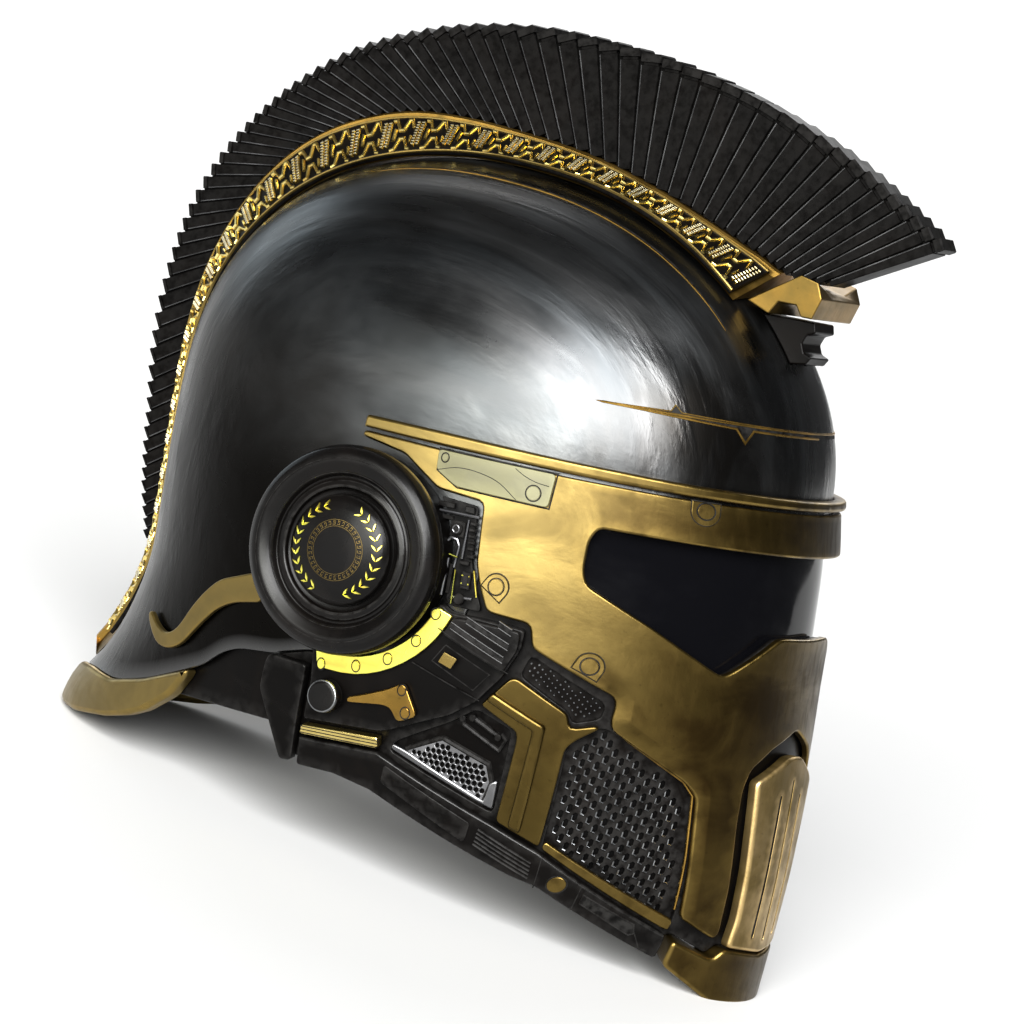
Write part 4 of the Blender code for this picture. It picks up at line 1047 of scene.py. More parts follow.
def make_gold(name, base, dark, polish, depth, painted_light_back=False):
    """Aged gold plate: umber patches, paler rubbed clouds, brushed strokes and bare bright edges.

    With painted light, it turns from painted shade, darker in front, to painted light, paler towards
    the ears.
    """
    finish = Finish(name, metallic=1.0)
    patches = finish.noise(16, 6, (1, 1, 1.6), (0, 0, 0), 0.8).between(0.38, 0.68)
    rubbed = finish.noise(42, 6, (1, 0.45, 0.8), (25, 0, 40), 0.5).between(0.42, 0.75)
    strokes = finish.noise(240, 4, (1, 0.08, 0.3), (40, 0, 30)).between(0.42, 0.7)
    specks = finish.noise(420, 3).between(0.62, 0.75)
    colour = finish.layers(
        dark, (patches, base), (rubbed * 0.5, shaded(base, 1.35)),
        (strokes * 0.22, shaded(dark, 0.8)), (specks * 0.35, shaded(dark, 0.4)),
    )
    if painted_light_back:
        # painted light and shade: darker in front, paler towards the ears
        back = (finish.axis("Y") + patches * 0.02).between(-0.12, -0.02)
        colour = finish.layers(
            colour, (0.45 - back * 0.45, shaded(dark, 0.9)), (back * 0.5, shaded(base, 2, 2.2, 2.8)),
        )
    wear = finish.attribute("wear") * finish.noise(90, 4).between(0.25, 0.6)
    finish.set(
        Base_Color=finish.mix(wear * 0.75, colour, shaded(base, 1.9)),
        Roughness=polish + 0.14 - 0.12 * patches + 0.08 * strokes - 0.10 * wear,
    )
    finish.bump(patches * 0.6 + rubbed * 0.4 + strokes * 0.25, depth, 0.7)
    return finish.material


def make_black(name, base, polish, grain, gloss):
    """Satin black: faint brown patches, scuffs, a fine grain and paler rubbed edges."""
    finish = Finish(name, metallic=0.0, specular_ior_level=gloss)
    patches = finish.noise(30, 5, (1, 1, 1), (0, 0, 0), 0.7).between(0.4, 0.7)
    scuffs = finish.noise(160, 5, (1, 0.15, 0.5), (30, 0, 30)).between(0.55, 0.75)
    fine = finish.noise(900, 3)
    colour = finish.layers(
        base, (patches, shaded(base, 1.6, 1.4, 1.25)), (scuffs * 0.4, shaded(base, 3)),
    )
    wear = finish.attribute("wear") * finish.noise(300, 4).between(0.25, 0.65)
    finish.set(
        Base_Color=finish.mix(wear * 0.5, colour, RUBBED_BLACK),
        Roughness=polish + 0.10 * patches - 0.10 * scuffs - 0.08 * wear,
    )
    finish.bump(fine * grain + scuffs * 0.4, 0.06 * MM, 0.6)
    return finish.material


def make_glass(base):
    """Dark visor glass with a faint film of dust."""
    finish = Finish("visor_dark_glass", metallic=0.0, specular_ior_level=0.12)
    film = finish.noise(24, 6, (1, 0.4, 1), (0, 0, 20), 0.4).between(0.45, 0.8)
    finish.set(Base_Color=finish.mix(film * 0.4, base, DUST), Roughness=0.06 + 0.16 * film)
    return finish.material


def make_mesh_steel(name, base, polish):
    """Pierced steel sheet: grey metal with dark grime in its clouds."""
    finish = Finish(name, metallic=1.0)
    grime = finish.noise(60, 5).between(0.4, 0.7)
    wear = finish.attribute("wear")
    colour = finish.layers(shaded(base, 0.45), (grime, base), (wear * 0.6, shaded(base, 2.2)))
    finish.set(Base_Color=colour, Roughness=polish + 0.12 * grime)
    finish.bump(finish.noise(700, 3), 0.05 * MM, 0.5)
    return finish.material


def make_khaki(base):
    """Khaki enamel over metal: cloudy, with rubbed edges."""
    finish = Finish("khaki_enamel_worn", metallic=0.35)
    clouds = finish.noise(45, 5, (1, 1, 1), (0, 0, 0), 0.6).between(0.35, 0.7)
    strokes = finish.noise(300, 4, (1, 0.1, 0.4), (30, 0, 30)).between(0.45, 0.7)
    wear = finish.attribute("wear")
    colour = finish.layers(
        shaded(base, 0.75), (clouds, base), (strokes * 0.25, shaded(base, 1.3)),
        (wear * 0.5, shaded(base, 1.6)),
    )
    finish.set(Base_Color=colour, Roughness=0.42 + 0.1 * clouds)
    finish.bump(clouds * 0.5 + strokes * 0.3, 0.08 * MM, 0.6)
    return finish.material


def make_floor(base):
    """Pale matt studio floor with a very faint unevenness."""
    finish = Finish("studio_floor", roughness=0.9, specular_ior_level=0.1)
    cloud = finish.noise(3, 3).between(0.3, 0.7)
    finish.set(Base_Color=finish.mix(cloud, shaded(base, 0.985), base))
    return finish.material


LINE, RUBBER, INSERT_STEEL = "line_black", "crest_black", "bright_steel"
RUBBED_BLACK = (0.024, 0.023, 0.022)
DUST = (0.006, 0.006, 0.007)
NOISE_ROUGHNESS = 0.55
MADE = {}


def finishes():
    """The helmet's materials, made once from the colours in the sidebar."""
    if MADE:
        return MADE
    colours = bpy.context.scene.helmet_colours
    gold, umber, brass = tuple(colours.gold), tuple(colours.umber), tuple(colours.brass)
    black, mesh = tuple(colours.black), tuple(colours.mesh)
    golds = {
        # finish: name, base, dark, roughness, depth of its bumps, and whether light is painted from
        # front to back
        GOLD: ("aged_gold_plate", gold, umber, 0.30, 0.18 * MM, True),
        "rail_gold": ("rubbed_gold", shaded(gold, 1.7, 1.45, 1.1), shaded(gold, 0.8), 0.26, 0.1 * MM),
        "strut_gold": ("strut_gold", shaded(gold, 0.5), shaded(umber, 0.7), 0.30, 0.18 * MM),
        # a paler, greyer copy of the gold for the chin plate: partly its own greyer tone, partly
        # painted light
        "chin_gold": ("chin_gold", shaded(gold, 2.4, 2.5, 4), gold, 0.34, 0.18 * MM),
        "key_gold": ("key_gold", (0.48, 0.38, 0.13), (0.26, 0.17, 0.04), 0.2, 0.1 * MM),
        "key_silver": ("key_silver", (0.38, 0.35, 0.25), (0.24, 0.19, 0.09), 0.2, 0.1 * MM),
        BRIGHT: ("yellow_brass", brass, shaded(brass, 0.7), 0.26, 0.1 * MM),
    }
    blacks = {
        # finish: name, base, roughness, grain, gloss
        BLACK: ("satin_black_lacquer", black, 0.30, 0.3, 0.06),
        RUBBER: ("crest_black_lacquer", shaded(black, 0.6), 0.34, 0.4, 0.025),
        LINE: ("seam_black", shaded(black, 0.3), 0.5, 0.2, 0.05),
        "ear_black": ("ear_black_lacquer", black, 0.24, 0.12, 0.16),
        "grille_black": ("grille_black", shaded(black, 1.2), 0.32, 0.3, 0.03),
    }
    steels = {
        # finish: name, base, roughness
        MESH: ("pierced_steel", mesh, 0.32),
        "edge_steel": ("edge_steel", shaded(mesh, 0.45), 0.3),
        INSERT_STEEL: ("bare_steel", (0.12, 0.123, 0.127), 0.25),
    }
    for make, table in ((make_gold, golds), (make_black, blacks), (make_mesh_steel, steels)):
        for finish, values in table.items():
            MADE[finish] = make(*values)
    MADE[STEEL] = make_black_steel(tuple(colours.steel))
    MADE[GLASS] = make_glass(tuple(colours.glass))
    MADE[KHAKI] = make_khaki(tuple(colours.khaki))
    return MADE


def make_skull(sizes):
    """Dome, sides and nape as one wall.

    Columns go round the head. Up to the dome's spring their rows share out the height from the
    edge, above it they share out the tilt from the spring to the crown, seen from a point inside.
    The inner wall is the outer one moved in along its normals.
    """
    half = np.array(SKULL_EDGE)
    corners = np.concatenate([half, np.column_stack([360 - half[::-1, 0], half[::-1, 1]])])
    columns = sizes.skull_columns
    angle = np.linspace(0, 360, columns, endpoint=False)
    near = (angle[:, None] + np.linspace(-2, 2, 9)) % 360
    edge = height(np.interp(near, corners[:, 0], corners[:, 1]).mean(axis=1)) + 0.4 * MM
    turn = np.radians(angle)
    spring, centre = float(height(SKULL_SPRING)), float(height(SKULL_CENTRE))
    share = np.linspace(0, 1, SKULL_ROWS_BELOW)[:, None] ** 0.9
    lower = around(turn[None], edge + (spring - edge) * share)
    first_tilt = np.arctan2(spring - centre, np.linalg.norm(lower[-1, :, :2], axis=1))
    share = np.linspace(0, 1, SKULL_ROWS_ABOVE)[1:-1, None]
    tilt = first_tilt + (math.pi / 2 - first_tilt) * share
    ways = np.stack([
        -np.sin(turn) * np.cos(tilt), -np.cos(turn) * np.cos(tilt), np.sin(tilt) + 0 * turn,
    ], axis=-1)
    upper = meet(np.broadcast_to((0, 0, centre), ways.shape), ways)
    outer = np.concatenate([lower, upper])
    facing = outward(outer)
    lip = [outer[0] - inward * facing[0] - (0, 0, 0.8 * MM) for inward, _ in SKULL_LIP]
    lip_normals = [lean * facing[0] - (0, 0, 1.0) for _, lean in SKULL_LIP]
    layers = np.concatenate([outer[::-1], lip, outer - SKULL_WALL * facing])
    normals = one_long(np.concatenate([facing[::-1], lip_normals, -facing]))
    wear = np.zeros(layers.shape[:2])
    wear[len(outer) - 1 : len(outer) + 1] = 0.8
    shell = grid(layers, False, True, wear.ravel())
    number = np.arange(columns)
    after = np.roll(number, -1)
    last = len(shell.points)
    low_row = last - columns
    caps = np.concatenate([
        np.stack([after, number, 0 * number + last], axis=-1),
        np.stack([low_row + number, low_row + after, 0 * number + last + 1], axis=-1),
    ])
    crown = meet(np.array([(0, 0, centre)]), np.array([(0, 0, 1.0)]))
    poles = np.concatenate([crown, crown - (0, 0, SKULL_WALL)])
    return Shape(
        np.concatenate([shell.points, poles]), shell.quads, caps,
        np.concatenate([shell.wear, [0, 0]]),
        np.concatenate([normals.reshape(-1, 3), [(0, 0, 1), (0, 0, -1)]]),
    )


def over_the_head(angle):
    """Places on the skull's middle line at these angles over the head (degrees), and normals."""
    turn = np.radians(np.asarray(angle, float))
    zero = np.zeros(turn.shape)
    ways = np.stack([zero, -np.cos(turn), np.sin(turn)], axis=-1)
    places = meet(np.zeros(ways.shape), ways)
    return places, outward(places)


def rail_height(angle):
    return RIDGE_RISE * along(CREST, angle, 1) / 100


def dome_height(places, normals, across):
    """How high the skull stands along each normal, this far to the side of the middle line."""
    sideways = np.asarray(across)[..., None] * np.array((1.0, 0, 0))
    starts = places - UNDER_SKULL * normals + sideways
    return np.linalg.norm(meet(starts, normals) - starts, axis=-1) - UNDER_SKULL


def band_line(angle):
    """For each place over the head, the key band's inner face: across and height at both edges."""
    places, normals = over_the_head(angle)
    top = rail_height(angle) - RAIL_DEPTH
    flare = np.clip((FLARE_START - np.asarray(angle)) / FLARE_SPAN, 0, 1)
    half = BAND_HALF_WIDTH + BAND_FLARE * flare
    foot = dome_height(places, normals, half) + 2 * LAYER_GAP
    inner = np.stack([np.full(top.shape, RAIL_HALF_WIDTH + 0.3 * MM), top], axis=-1)
    outer = np.stack([half, foot], axis=-1)
    slope = one_long(outer - inner)
    facing = np.stack([-slope[..., 1], slope[..., 0]], axis=-1)
    return places, normals, inner, outer, facing


def section_places(places, normals, across, up, side=-1):
    """Points of a cross-section over the head, from distances across and up the normal."""
    sideways = side * np.asarray(across)[..., None] * np.array((1.0, 0, 0))
    return places + sideways + np.asarray(up)[..., None] * normals


def on_band(points):
    """Flat points on the key band: degrees over the head, share across it, and height on it."""
    angle, share, rise = points[:, 0], points[:, 1], points[:, 2]
    places, normals, inner, outer, facing = band_line(angle)
    spot = inner + share[:, None] * (outer - inner) + (BAND_WALL + rise)[:, None] * facing
    return section_places(places, normals, spot[:, 0], spot[:, 1])


def make_ridge():
    """Cross-sections over the head: a rail with chamfered edges on shoulders down to the skull."""
    angle = np.concatenate([[RIDGE_ANGLES[0]], np.linspace(*BAND_ANGLES, 180), [RIDGE_ANGLES[1]]])
    places, normals, inner, outer, facing = band_line(angle)
    shoulder, foot = inner - LAYER_GAP * facing, outer - LAYER_GAP * facing
    rail = rail_height(angle)
    edge = np.full(len(angle), RAIL_HALF_WIDTH)
    seat = dome_height(places, normals, edge) + 1.5 * LAYER_GAP
    middle = dome_height(places, normals, 0 * edge) + 1.5 * LAYER_GAP
    chamfer = 0.9 * MM
    half = [
        (edge - chamfer, rail), (edge, rail - chamfer), (edge, shoulder[:, 1] + 0.1 * MM),
        shoulder.T, foot.T, (edge, seat),
    ]
    ring = [section_places(places, normals, across, up) for across, up in half]
    ring.append(section_places(places, normals, 0 * edge, middle))
    ring += [section_places(places, normals, across, up, side=1) for across, up in half[::-1]]
    wear = np.tile([1, 1, 0.3, 0, 0, 0, 0, 0, 0, 0, 0.3, 1, 1], (len(angle), 1))
    return grid(np.stack(ring, axis=1), False, True, wear.ravel(), caps=True)


BAND_PROFILE = [
    # share across the band, height, wear
    (1, 0, 0), (0, 0, 0), (0, 0.3 * MM, 0), (0.06, 0.4 * MM, 0), (0.07, BAND_WALL + 0.5 * MM, 0.6),
    (0.1, BAND_WALL + 0.5 * MM, 0.6), (0.12, BAND_WALL, 0), (0.93, BAND_WALL, 0),
    (0.95, BAND_WALL + 0.7 * MM, 0.6), (1, BAND_WALL + 0.7 * MM, 1),
]


def make_band():
    """The black band: its inner face and its outer face, with a raised border on both edges."""
    angle = np.linspace(*BAND_ANGLES, 220)
    places, normals, inner, outer, facing = band_line(angle)
    ring = []
    for share, rise, _ in BAND_PROFILE:
        spot = inner + share * (outer - inner) + rise * facing
        ring.append(section_places(places, normals, spot[:, 0], spot[:, 1]))
    wear = np.tile([row[2] for row in BAND_PROFILE], (len(angle), 1))
    return grid(np.stack(ring, axis=1), False, True, wear.ravel(), caps=True)


# One repeat of the key ornament: places along it and across the band, as shares
KEY_LINES = [
    [
        (0.36, 0.36), (0.46, 0.12), (0.56, 0.12), (0.68, 0.38), (0.80, 0.38), (0.92, 0.12),
        (1.03, 0.12),
    ],
    [(0.36, 0.92), (0.47, 0.90), (0.60, 0.62), (0.76, 0.62), (0.88, 0.90), (1.0, 0.92)],
    [(0.10, 0.16), (0.14, 0.84)], [(0.24, 0.16), (0.28, 0.84)], [(0.93, 0.36), (0.95, 0.66)],
    [(0.42, 0.56), (0.42, 0.74)],
]
KEY_BARS = [
    [(start + 0.04 * share + end, 0.2 + 0.6 * share) for end in (-0.045, 0.045)]
    for start in (0.10, 0.24) for share in np.linspace(0, 1, 9)
]
BAND_ACROSS = 15.5 * MM
BAND_THREADS = {"edge": 0.985, "top": 0.085}
# How far apart two places a degree apart over the head are, about
BAND_DEGREE = math.radians(1) * 160 * MM


def make_key(sizes, lines, width, lift=0.0):
    """Ornament on the band: each line of one repeat is a half-round bead, copied along the band."""
    angle = np.linspace(*BAND_ANGLES, 400)
    middle = on_band(np.column_stack([angle, 0 * angle + 0.5, 0 * angle]))
    run = run_along(middle)
    pitch = run[-1] / sizes.key_repeats
    starts = np.zeros((sizes.key_repeats, 3))
    starts[:, 0] = pitch * np.arange(sizes.key_repeats)
    beads = []
    for line in lines:
        unit = bead(np.array(line) * (pitch, BAND_ACROSS), width / 2, 0.9 * width, sides=6)
        unit.points[:, 2] += lift
        beads.append(repeated(unit, unit.points[None] + starts[:, None]))
    key = joined(beads)
    key.points[:, 0] = np.interp(key.points[:, 0], run, angle)
    key.points[:, 1] = 0.06 + 0.94 * key.points[:, 1] / BAND_ACROSS
    return key.moved(on_band)


# Stations of a blade and of the web between two: reach, thickness as a share, half width in mm
BLADE_STATIONS = [
    (0.0, 0.42, 7.6), (0.0, 0.43, 8), (0.9, 0.43, 8), (0.905, 0.36, 7.3),
    (0.925, 0.36, 7.3), (0.93, 0.47, 8.2), (0.985, 0.47, 8.2), (1.0, 0.42, 7.6),
]
WEB_STATIONS = [(0.01, 0.25, 6.6), (0.5, 0.25, 6.6), (0.93, 0.25, 6.6), (0.94, 0.2, 6)]
CHAMFERED = [
    # side across, side beside, and which of the two the chamfer cuts
    (1, 1, 0, 1), (1, 1, 1, 0), (-1, 1, 1, 0), (-1, 1, 0, 1),
    (-1, -1, 0, 1), (-1, -1, 1, 0), (1, -1, 1, 0), (1, -1, 0, 1),
]
# The strip on a blade's edge: reaches, and its corners across and beside in mm
STRIP_REACHES = (0.02, 0.3, 0.6, 0.9)
STRIP_CORNERS = [(7.7, -0.35), (8.12, -0.35), (8.12, 0.05), (7.7, 0.05)]


def blade_shares(sizes):
    """Where the blades stand along the crest, as shares of it, and how far apart."""
    pitch = 1 / (sizes.blades - 0.4)
    return (np.arange(sizes.blades) + 0.3) * pitch, pitch


def blade_places(sizes, share):
    """The blades' feet on the rail, ways out and aside, lengths, and room at foot and tip."""
    at = along(BLADE_SPREAD, share, 1)
    places, normals = over_the_head(at)
    foot = places + (rail_height(at) + 0.5 * MM)[:, None] * normals
    lean = np.radians(along(CREST, at, 2))
    way = np.stack([0 * lean, -np.cos(lean), np.sin(lean)], axis=-1)
    aside = np.stack([0 * lean, np.sin(lean), np.cos(lean)], axis=-1)
    length = sizes.blade_length * along(CREST, at, 3) / 100
    tips = foot + length[:, None] * way
    room = [np.abs(np.sum(np.gradient(end, axis=0) * aside, axis=1)) for end in (foot, tips)]
    return foot, way, aside, length, room


def slabs(sizes, share, stations, wear, cap_wear):
    """Chamfered slabs from the rail out along their lean, one for each share of the crest.

    A point is the foot, plus reach times the lean's direction, plus across times X, plus beside
    times the direction at right angles to both.
    """
    foot, way, aside, length, room = blade_places(sizes, share)
    rings = []
    for reach, thick, half in stations:
        here = foot + (reach * length)[:, None] * way
        local = (room[0] + (room[1] - room[0]) * reach) * thick
        cut = np.minimum(0.25 * MM, 0.4 * local)
        ring = []
        for side, beside_side, cut_across, cut_beside in CHAMFERED:
            across = side * (half * MM - cut_across * cut)
            beside = beside_side * (local - cut_beside * cut)
            ring.append(here + across[:, None] * (1.0, 0, 0) + beside[:, None] * aside)
        rings.append(np.stack(ring, axis=1))
    worn = np.full((len(stations), len(CHAMFERED)), wear)
    worn[-3:] = cap_wear
    stack = np.stack(rings, axis=1)
    return [grid(slab[:, ::-1], False, True, worn.ravel(), caps=True) for slab in stack]


def make_blades(sizes):
    """Blades with a thicker cap at their ends, and a narrower web from each to the next."""
    share, pitch = blade_shares(sizes)
    blades = slabs(sizes, share, BLADE_STATIONS, 0.25, 0.6)
    return joined(blades + slabs(sizes, share[:-1] + 0.5 * pitch, WEB_STATIONS, 0.0, 0.0))


def make_blade_edges(sizes):
    """A thin bright strip along each blade's edge: a square profile from foot to tip."""
    foot, way, aside, length, room = blade_places(sizes, blade_shares(sizes)[0])
    thick = [BLADE_STATIONS[1][1] * end for end in room]
    rings = []
    for reach in STRIP_REACHES:
        here = foot + (reach * length)[:, None] * way
        beside = thick[0] + (thick[1] - thick[0]) * reach
        ring = [
            here - (across * MM, 0, 0) + (beside + more * MM)[:, None] * aside
            for across, more in STRIP_CORNERS
        ]
        rings.append(np.stack(ring, axis=1))
    return joined([grid(strip, False, True, caps=True) for strip in np.stack(rings, axis=1)])


def softened(node, name, finish, width):
    """A copy of a frame solid whose edges a bevel rounds off."""
    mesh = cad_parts[node].data.copy()
    mesh.name = name
    made = bmesh.new()
    made.from_mesh(mesh)
    bmesh.ops.remove_doubles(made, verts=made.verts, dist=1e-6)
    bmesh.ops.dissolve_limit(made, angle_limit=math.radians(1), verts=made.verts, edges=made.edges)
    made.to_mesh(mesh)
    made.free()
    mesh.shade_smooth()
    mesh.set_sharp_from_angle(angle=math.radians(25))
    mesh.materials.clear()
    bevel = enter(name, mesh, finish, [node]).modifiers.new("soft edges", "BEVEL")
    bevel.width = width
    bevel.segments = 3
    bevel.limit_method = "ANGLE"
    bevel.harden_normals = True


def lathe(profile, back, sides=128):
    """A turned piece on the right ear: radius and depth of a profile swept round the ear's axis."""
    profile = np.array(profile, float)
    turn = np.linspace(0, 2 * math.pi, sides, endpoint=False)
    radius, depth = profile[:, None, 0], profile[:, None, 1]
    points = np.stack([
        -(back + depth) + 0 * turn, -radius * np.cos(turn), radius * np.sin(turn),
    ], axis=-1)
    # rubbed wear and painted highlight where the profile bends outwards
    return grid(points[:, ::-1], False, True, np.repeat(edge_wear_and_sheen(profile), sides))


def edge_wear_and_sheen(profile):
    """Wear and painted highlight at each profile point: one where it bends outwards within a
    millimetre.
    """
    step = np.diff(profile, axis=0)
    heading = np.unwrap(np.arctan2(step[:, 1], step[:, 0]))
    length = np.linalg.norm(step, axis=1)
    bend = np.zeros(len(profile))
    bend[1:-1] = -np.diff(heading) / np.maximum((length[:-1] + length[1:]) / 2, 0.1 * MM) * MM
    return np.clip((bend - 0.25) / 0.5, 0, 1)


def ear_profile(rows):
    """A turned profile in millimetres whose corners are rounded by parabolas."""
    corners = np.array(rows, float)
    before = corners[:-2] + (corners[1:-1] - corners[:-2]) * PROFILE_REACH
    after = corners[2:] + (corners[1:-1] - corners[2:]) * PROFILE_REACH
    middle = parabolas(before, corners[1:-1], after, PROFILE_POINTS)
    return np.concatenate([corners[:1], middle, corners[-1:]]) * MM


def shape_of_face(sizes):
    """Names, surfaces and finishes of the plates over the whole face."""
    visor_hole = evened(flat(whole(VISOR)), 2.5 * MM, 1.6 * MM)
    cuts = [inset(visor_hole, -0.6 * MM)]
    for rows in (CHEEK_OPENING, TEMPLE_OPENING, JAW_OPENING):
        cut = evened(flat(rows), 2.5 * MM, 1.8 * MM)
        cuts += [cut, cut * (-1, 1)]
    upper = [row for row in SKULL_EDGE if row[0] <= FRAME_BACK]
    frame_plate = plate(
        whole(upper + FRAME_EDGE), -FRAME_WALL, FRAME_WALL, 0.5 * MM, 0.8 * MM, step=7 * MM,
        holes=cuts,
    )
    side = resampled(flat(CHEEK_SIDE), 2 * MM)
    border = [side, side * (-1, 1)]

    def sunk(spots):
        away = np.minimum(*(edge_distance(spots, line, closed=False) for line in border))
        return -1.6 * MM * np.clip(1 - (away - 1.2 * MM) / (4.6 * MM), 0, 1)

    region = inset(evened(flat(whole(FACEPLATE)), 2.6 * MM, 1.6 * MM), 2 * MM)
    folds = []
    for depth in (5.5 * MM, 6.1 * MM):
        fold = shifted(resampled(flat(CHEEK_SIDE[:-1]), 2 * MM), -depth)
        fold = fold[inside(fold, region)]
        folds += [fold, fold * (-1, 1)]
    face = plate(
        whole(FACEPLATE), LAYER_GAP, PLATE_WALL, sizes.plate_bevel, radius=2.6 * MM,
        step=4.5 * MM, holes=[visor_hole], relief=sunk, creases=folds,
    )
    lens_lift = -(FRAME_WALL + LAYER_GAP + LENS_WALL)
    lens = plate(whole(VISOR), lens_lift, LENS_WALL, 0.4 * MM, -4 * MM)
    lip = plate(whole(BROW_LIP), LAYER_GAP, 5 * MM, 1.5 * MM, radius=1 * MM, steps=5)
    return [
        ("face_frame", frame_plate, BLACK), ("faceplate", face, GOLD),
        ("visor_lens", lens, GLASS), ("brow_lip", lip, GOLD),
    ]


def length_property(name, description, default):
    return bpy.props.FloatProperty(
        name=name, description=description, default=default, unit="LENGTH"
    )


def count_property(name, description, default, low):
    return bpy.props.IntProperty(name=name, description=description, default=default, min=low)


class HelmetSizes(bpy.types.PropertyGroup):
    """Sizes of the visible surfaces and ornament."""

    skull_columns: count_property("Skull columns", "Columns of points round the skull", 256, 64)
    plate_bevel: length_property("Plate bevel", "Radius of the faceplate's edges", 1.1 * MM)
    key_repeats: count_property("Key repeats", "Repeats of the key along the ridge", 30, 1)
    key_bead: length_property("Key bead", "Width of the key's raised bead", 1.5 * MM)
    blades: count_property("Blades", "Blades of the crest", 75, 8)
    leaves: count_property("Leaves", "Leaf pairs on each branch of the wreath", 11, 3)
    blade_length: length_property("Blade length", "Length of the crest's longest blades", 59 * MM)


def colour_property(name, description, default):
    return bpy.props.FloatVectorProperty(
        name=name, description=description, default=default, subtype="COLOR", min=0, max=1
    )


class HelmetColours(bpy.types.PropertyGroup):
    """Base colours of the finishes."""

    steel: colour_property("Steel", "Burnished black steel of the skull", (0.044, 0.044, 0.044))
    gold: colour_property("Gold", "Rubbed gold of the faceplate", (0.132, 0.090, 0.025))
    umber: colour_property("Umber", "Dark patches in the gold", (0.028, 0.017, 0.005))
    brass: colour_property("Brass", "Bright yellow brass", (0.86, 0.72, 0.12))
    black: colour_property("Black", "Satin black lacquer", (0.0014, 0.0012, 0.0011))
    glass: colour_property("Glass", "Visor glass", (0.0015, 0.0015, 0.002))
    mesh: colour_property("Mesh", "Pierced steel of the grilles", (0.15, 0.15, 0.155))
    khaki: colour_property("Khaki", "Khaki enamel of the temple plate", (0.085, 0.08, 0.036))
    floor: colour_property("Floor", "Studio floor", (0.52, 0.52, 0.517))


class HELMET_OT_skull(bpy.types.Operator):
    """Add the smooth skull, the gold rim of its nape and the tendrils"""

    bl_idname = "helmet.skull"
    bl_label = "Skull and nape"

    def execute(self, context):
        add_piece("skull", make_skull(context.scene.helmet_sizes), STEEL, ["skull_shell"])
        rim_lift = RIM_PROUD - RIM_WALL
        rim = plate(whole(RIM, 180), rim_lift, RIM_WALL, 2.6 * MM, 0, steps=6)
        add_piece("gold_nape_rim", rim, GOLD, ["nape_rim"])
        add_plate("gold_tendril", GOLD, "nape_tendril", TENDRIL, LAYER_GAP, 2.4 * MM, 1 * MM,
                  radius=5 * MM)
        self.add_brow_cut()
        self.add_crown_cut()
        collar_lift = rim_lift - LAYER_GAP - 2.5 * MM
        add_plate("dark_collar", BLACK, "neck_collar", COLLAR, collar_lift, 2.5 * MM, 0.8 * MM,
                  step=5 * MM)
        return {"FINISHED"}

    def add_brow_cut(self):
        """The engraved cut over the brow: dark, with a gold edge above and one below."""
        cut = plate(whole(BROW_CUT), -0.3 * MM, 0.38 * MM, 0.05 * MM, 0, 0.1 * MM, steps=1)
        add_piece("brow_cut", cut, LINE)
        upper, lower = BROW_CUT[BROW_CUT_TIP::-1], BROW_CUT[: BROW_CUT_TIP - 1 : -1]
        edges = [
            strand(whole(upper), 0, 0.3 * MM, 0.3 * MM),
            strand(whole(lower), 0, 0.55 * MM, 0.45 * MM),
        ]
        add_piece("brow_cut_edges", joined(edges), "rail_gold")

    def add_crown_cut(self):
        """The cut along the ridge, dark with a gold edge, widest and highest in its middle."""
        share = np.linspace(0, 1, 60)
        swell = (0.25 + 0.75 * np.sin(np.pi * share) ** 0.5)[:, None]
        run = np.linspace(*CROWN_CUT, len(share))
        path = np.column_stack([0 * run - CROWN_CUT_ASIDE, -run])
        dark = bead(path, 0.9 * MM, 0.12 * MM)
        gold = bead(path - (0.9 * MM, 0), 0.5 * MM, 0.4 * MM)
        for cord, finish, name in ((dark, LINE, "crown_cut"), (gold, "rail_gold", "crown_cut_edge")):
            spots = cord.points.reshape(len(share), -1, 3)
            centre = spots[:, :, :2].mean(axis=1, keepdims=True)
            spots[:, :, :2] = centre + (spots[:, :, :2] - centre) * swell[:, :, None]
            spots[:, :, 2] *= swell
            cord.points = spots.reshape(-1, 3)
            add_pair(name, laid(cord, 0, on_top), finish)


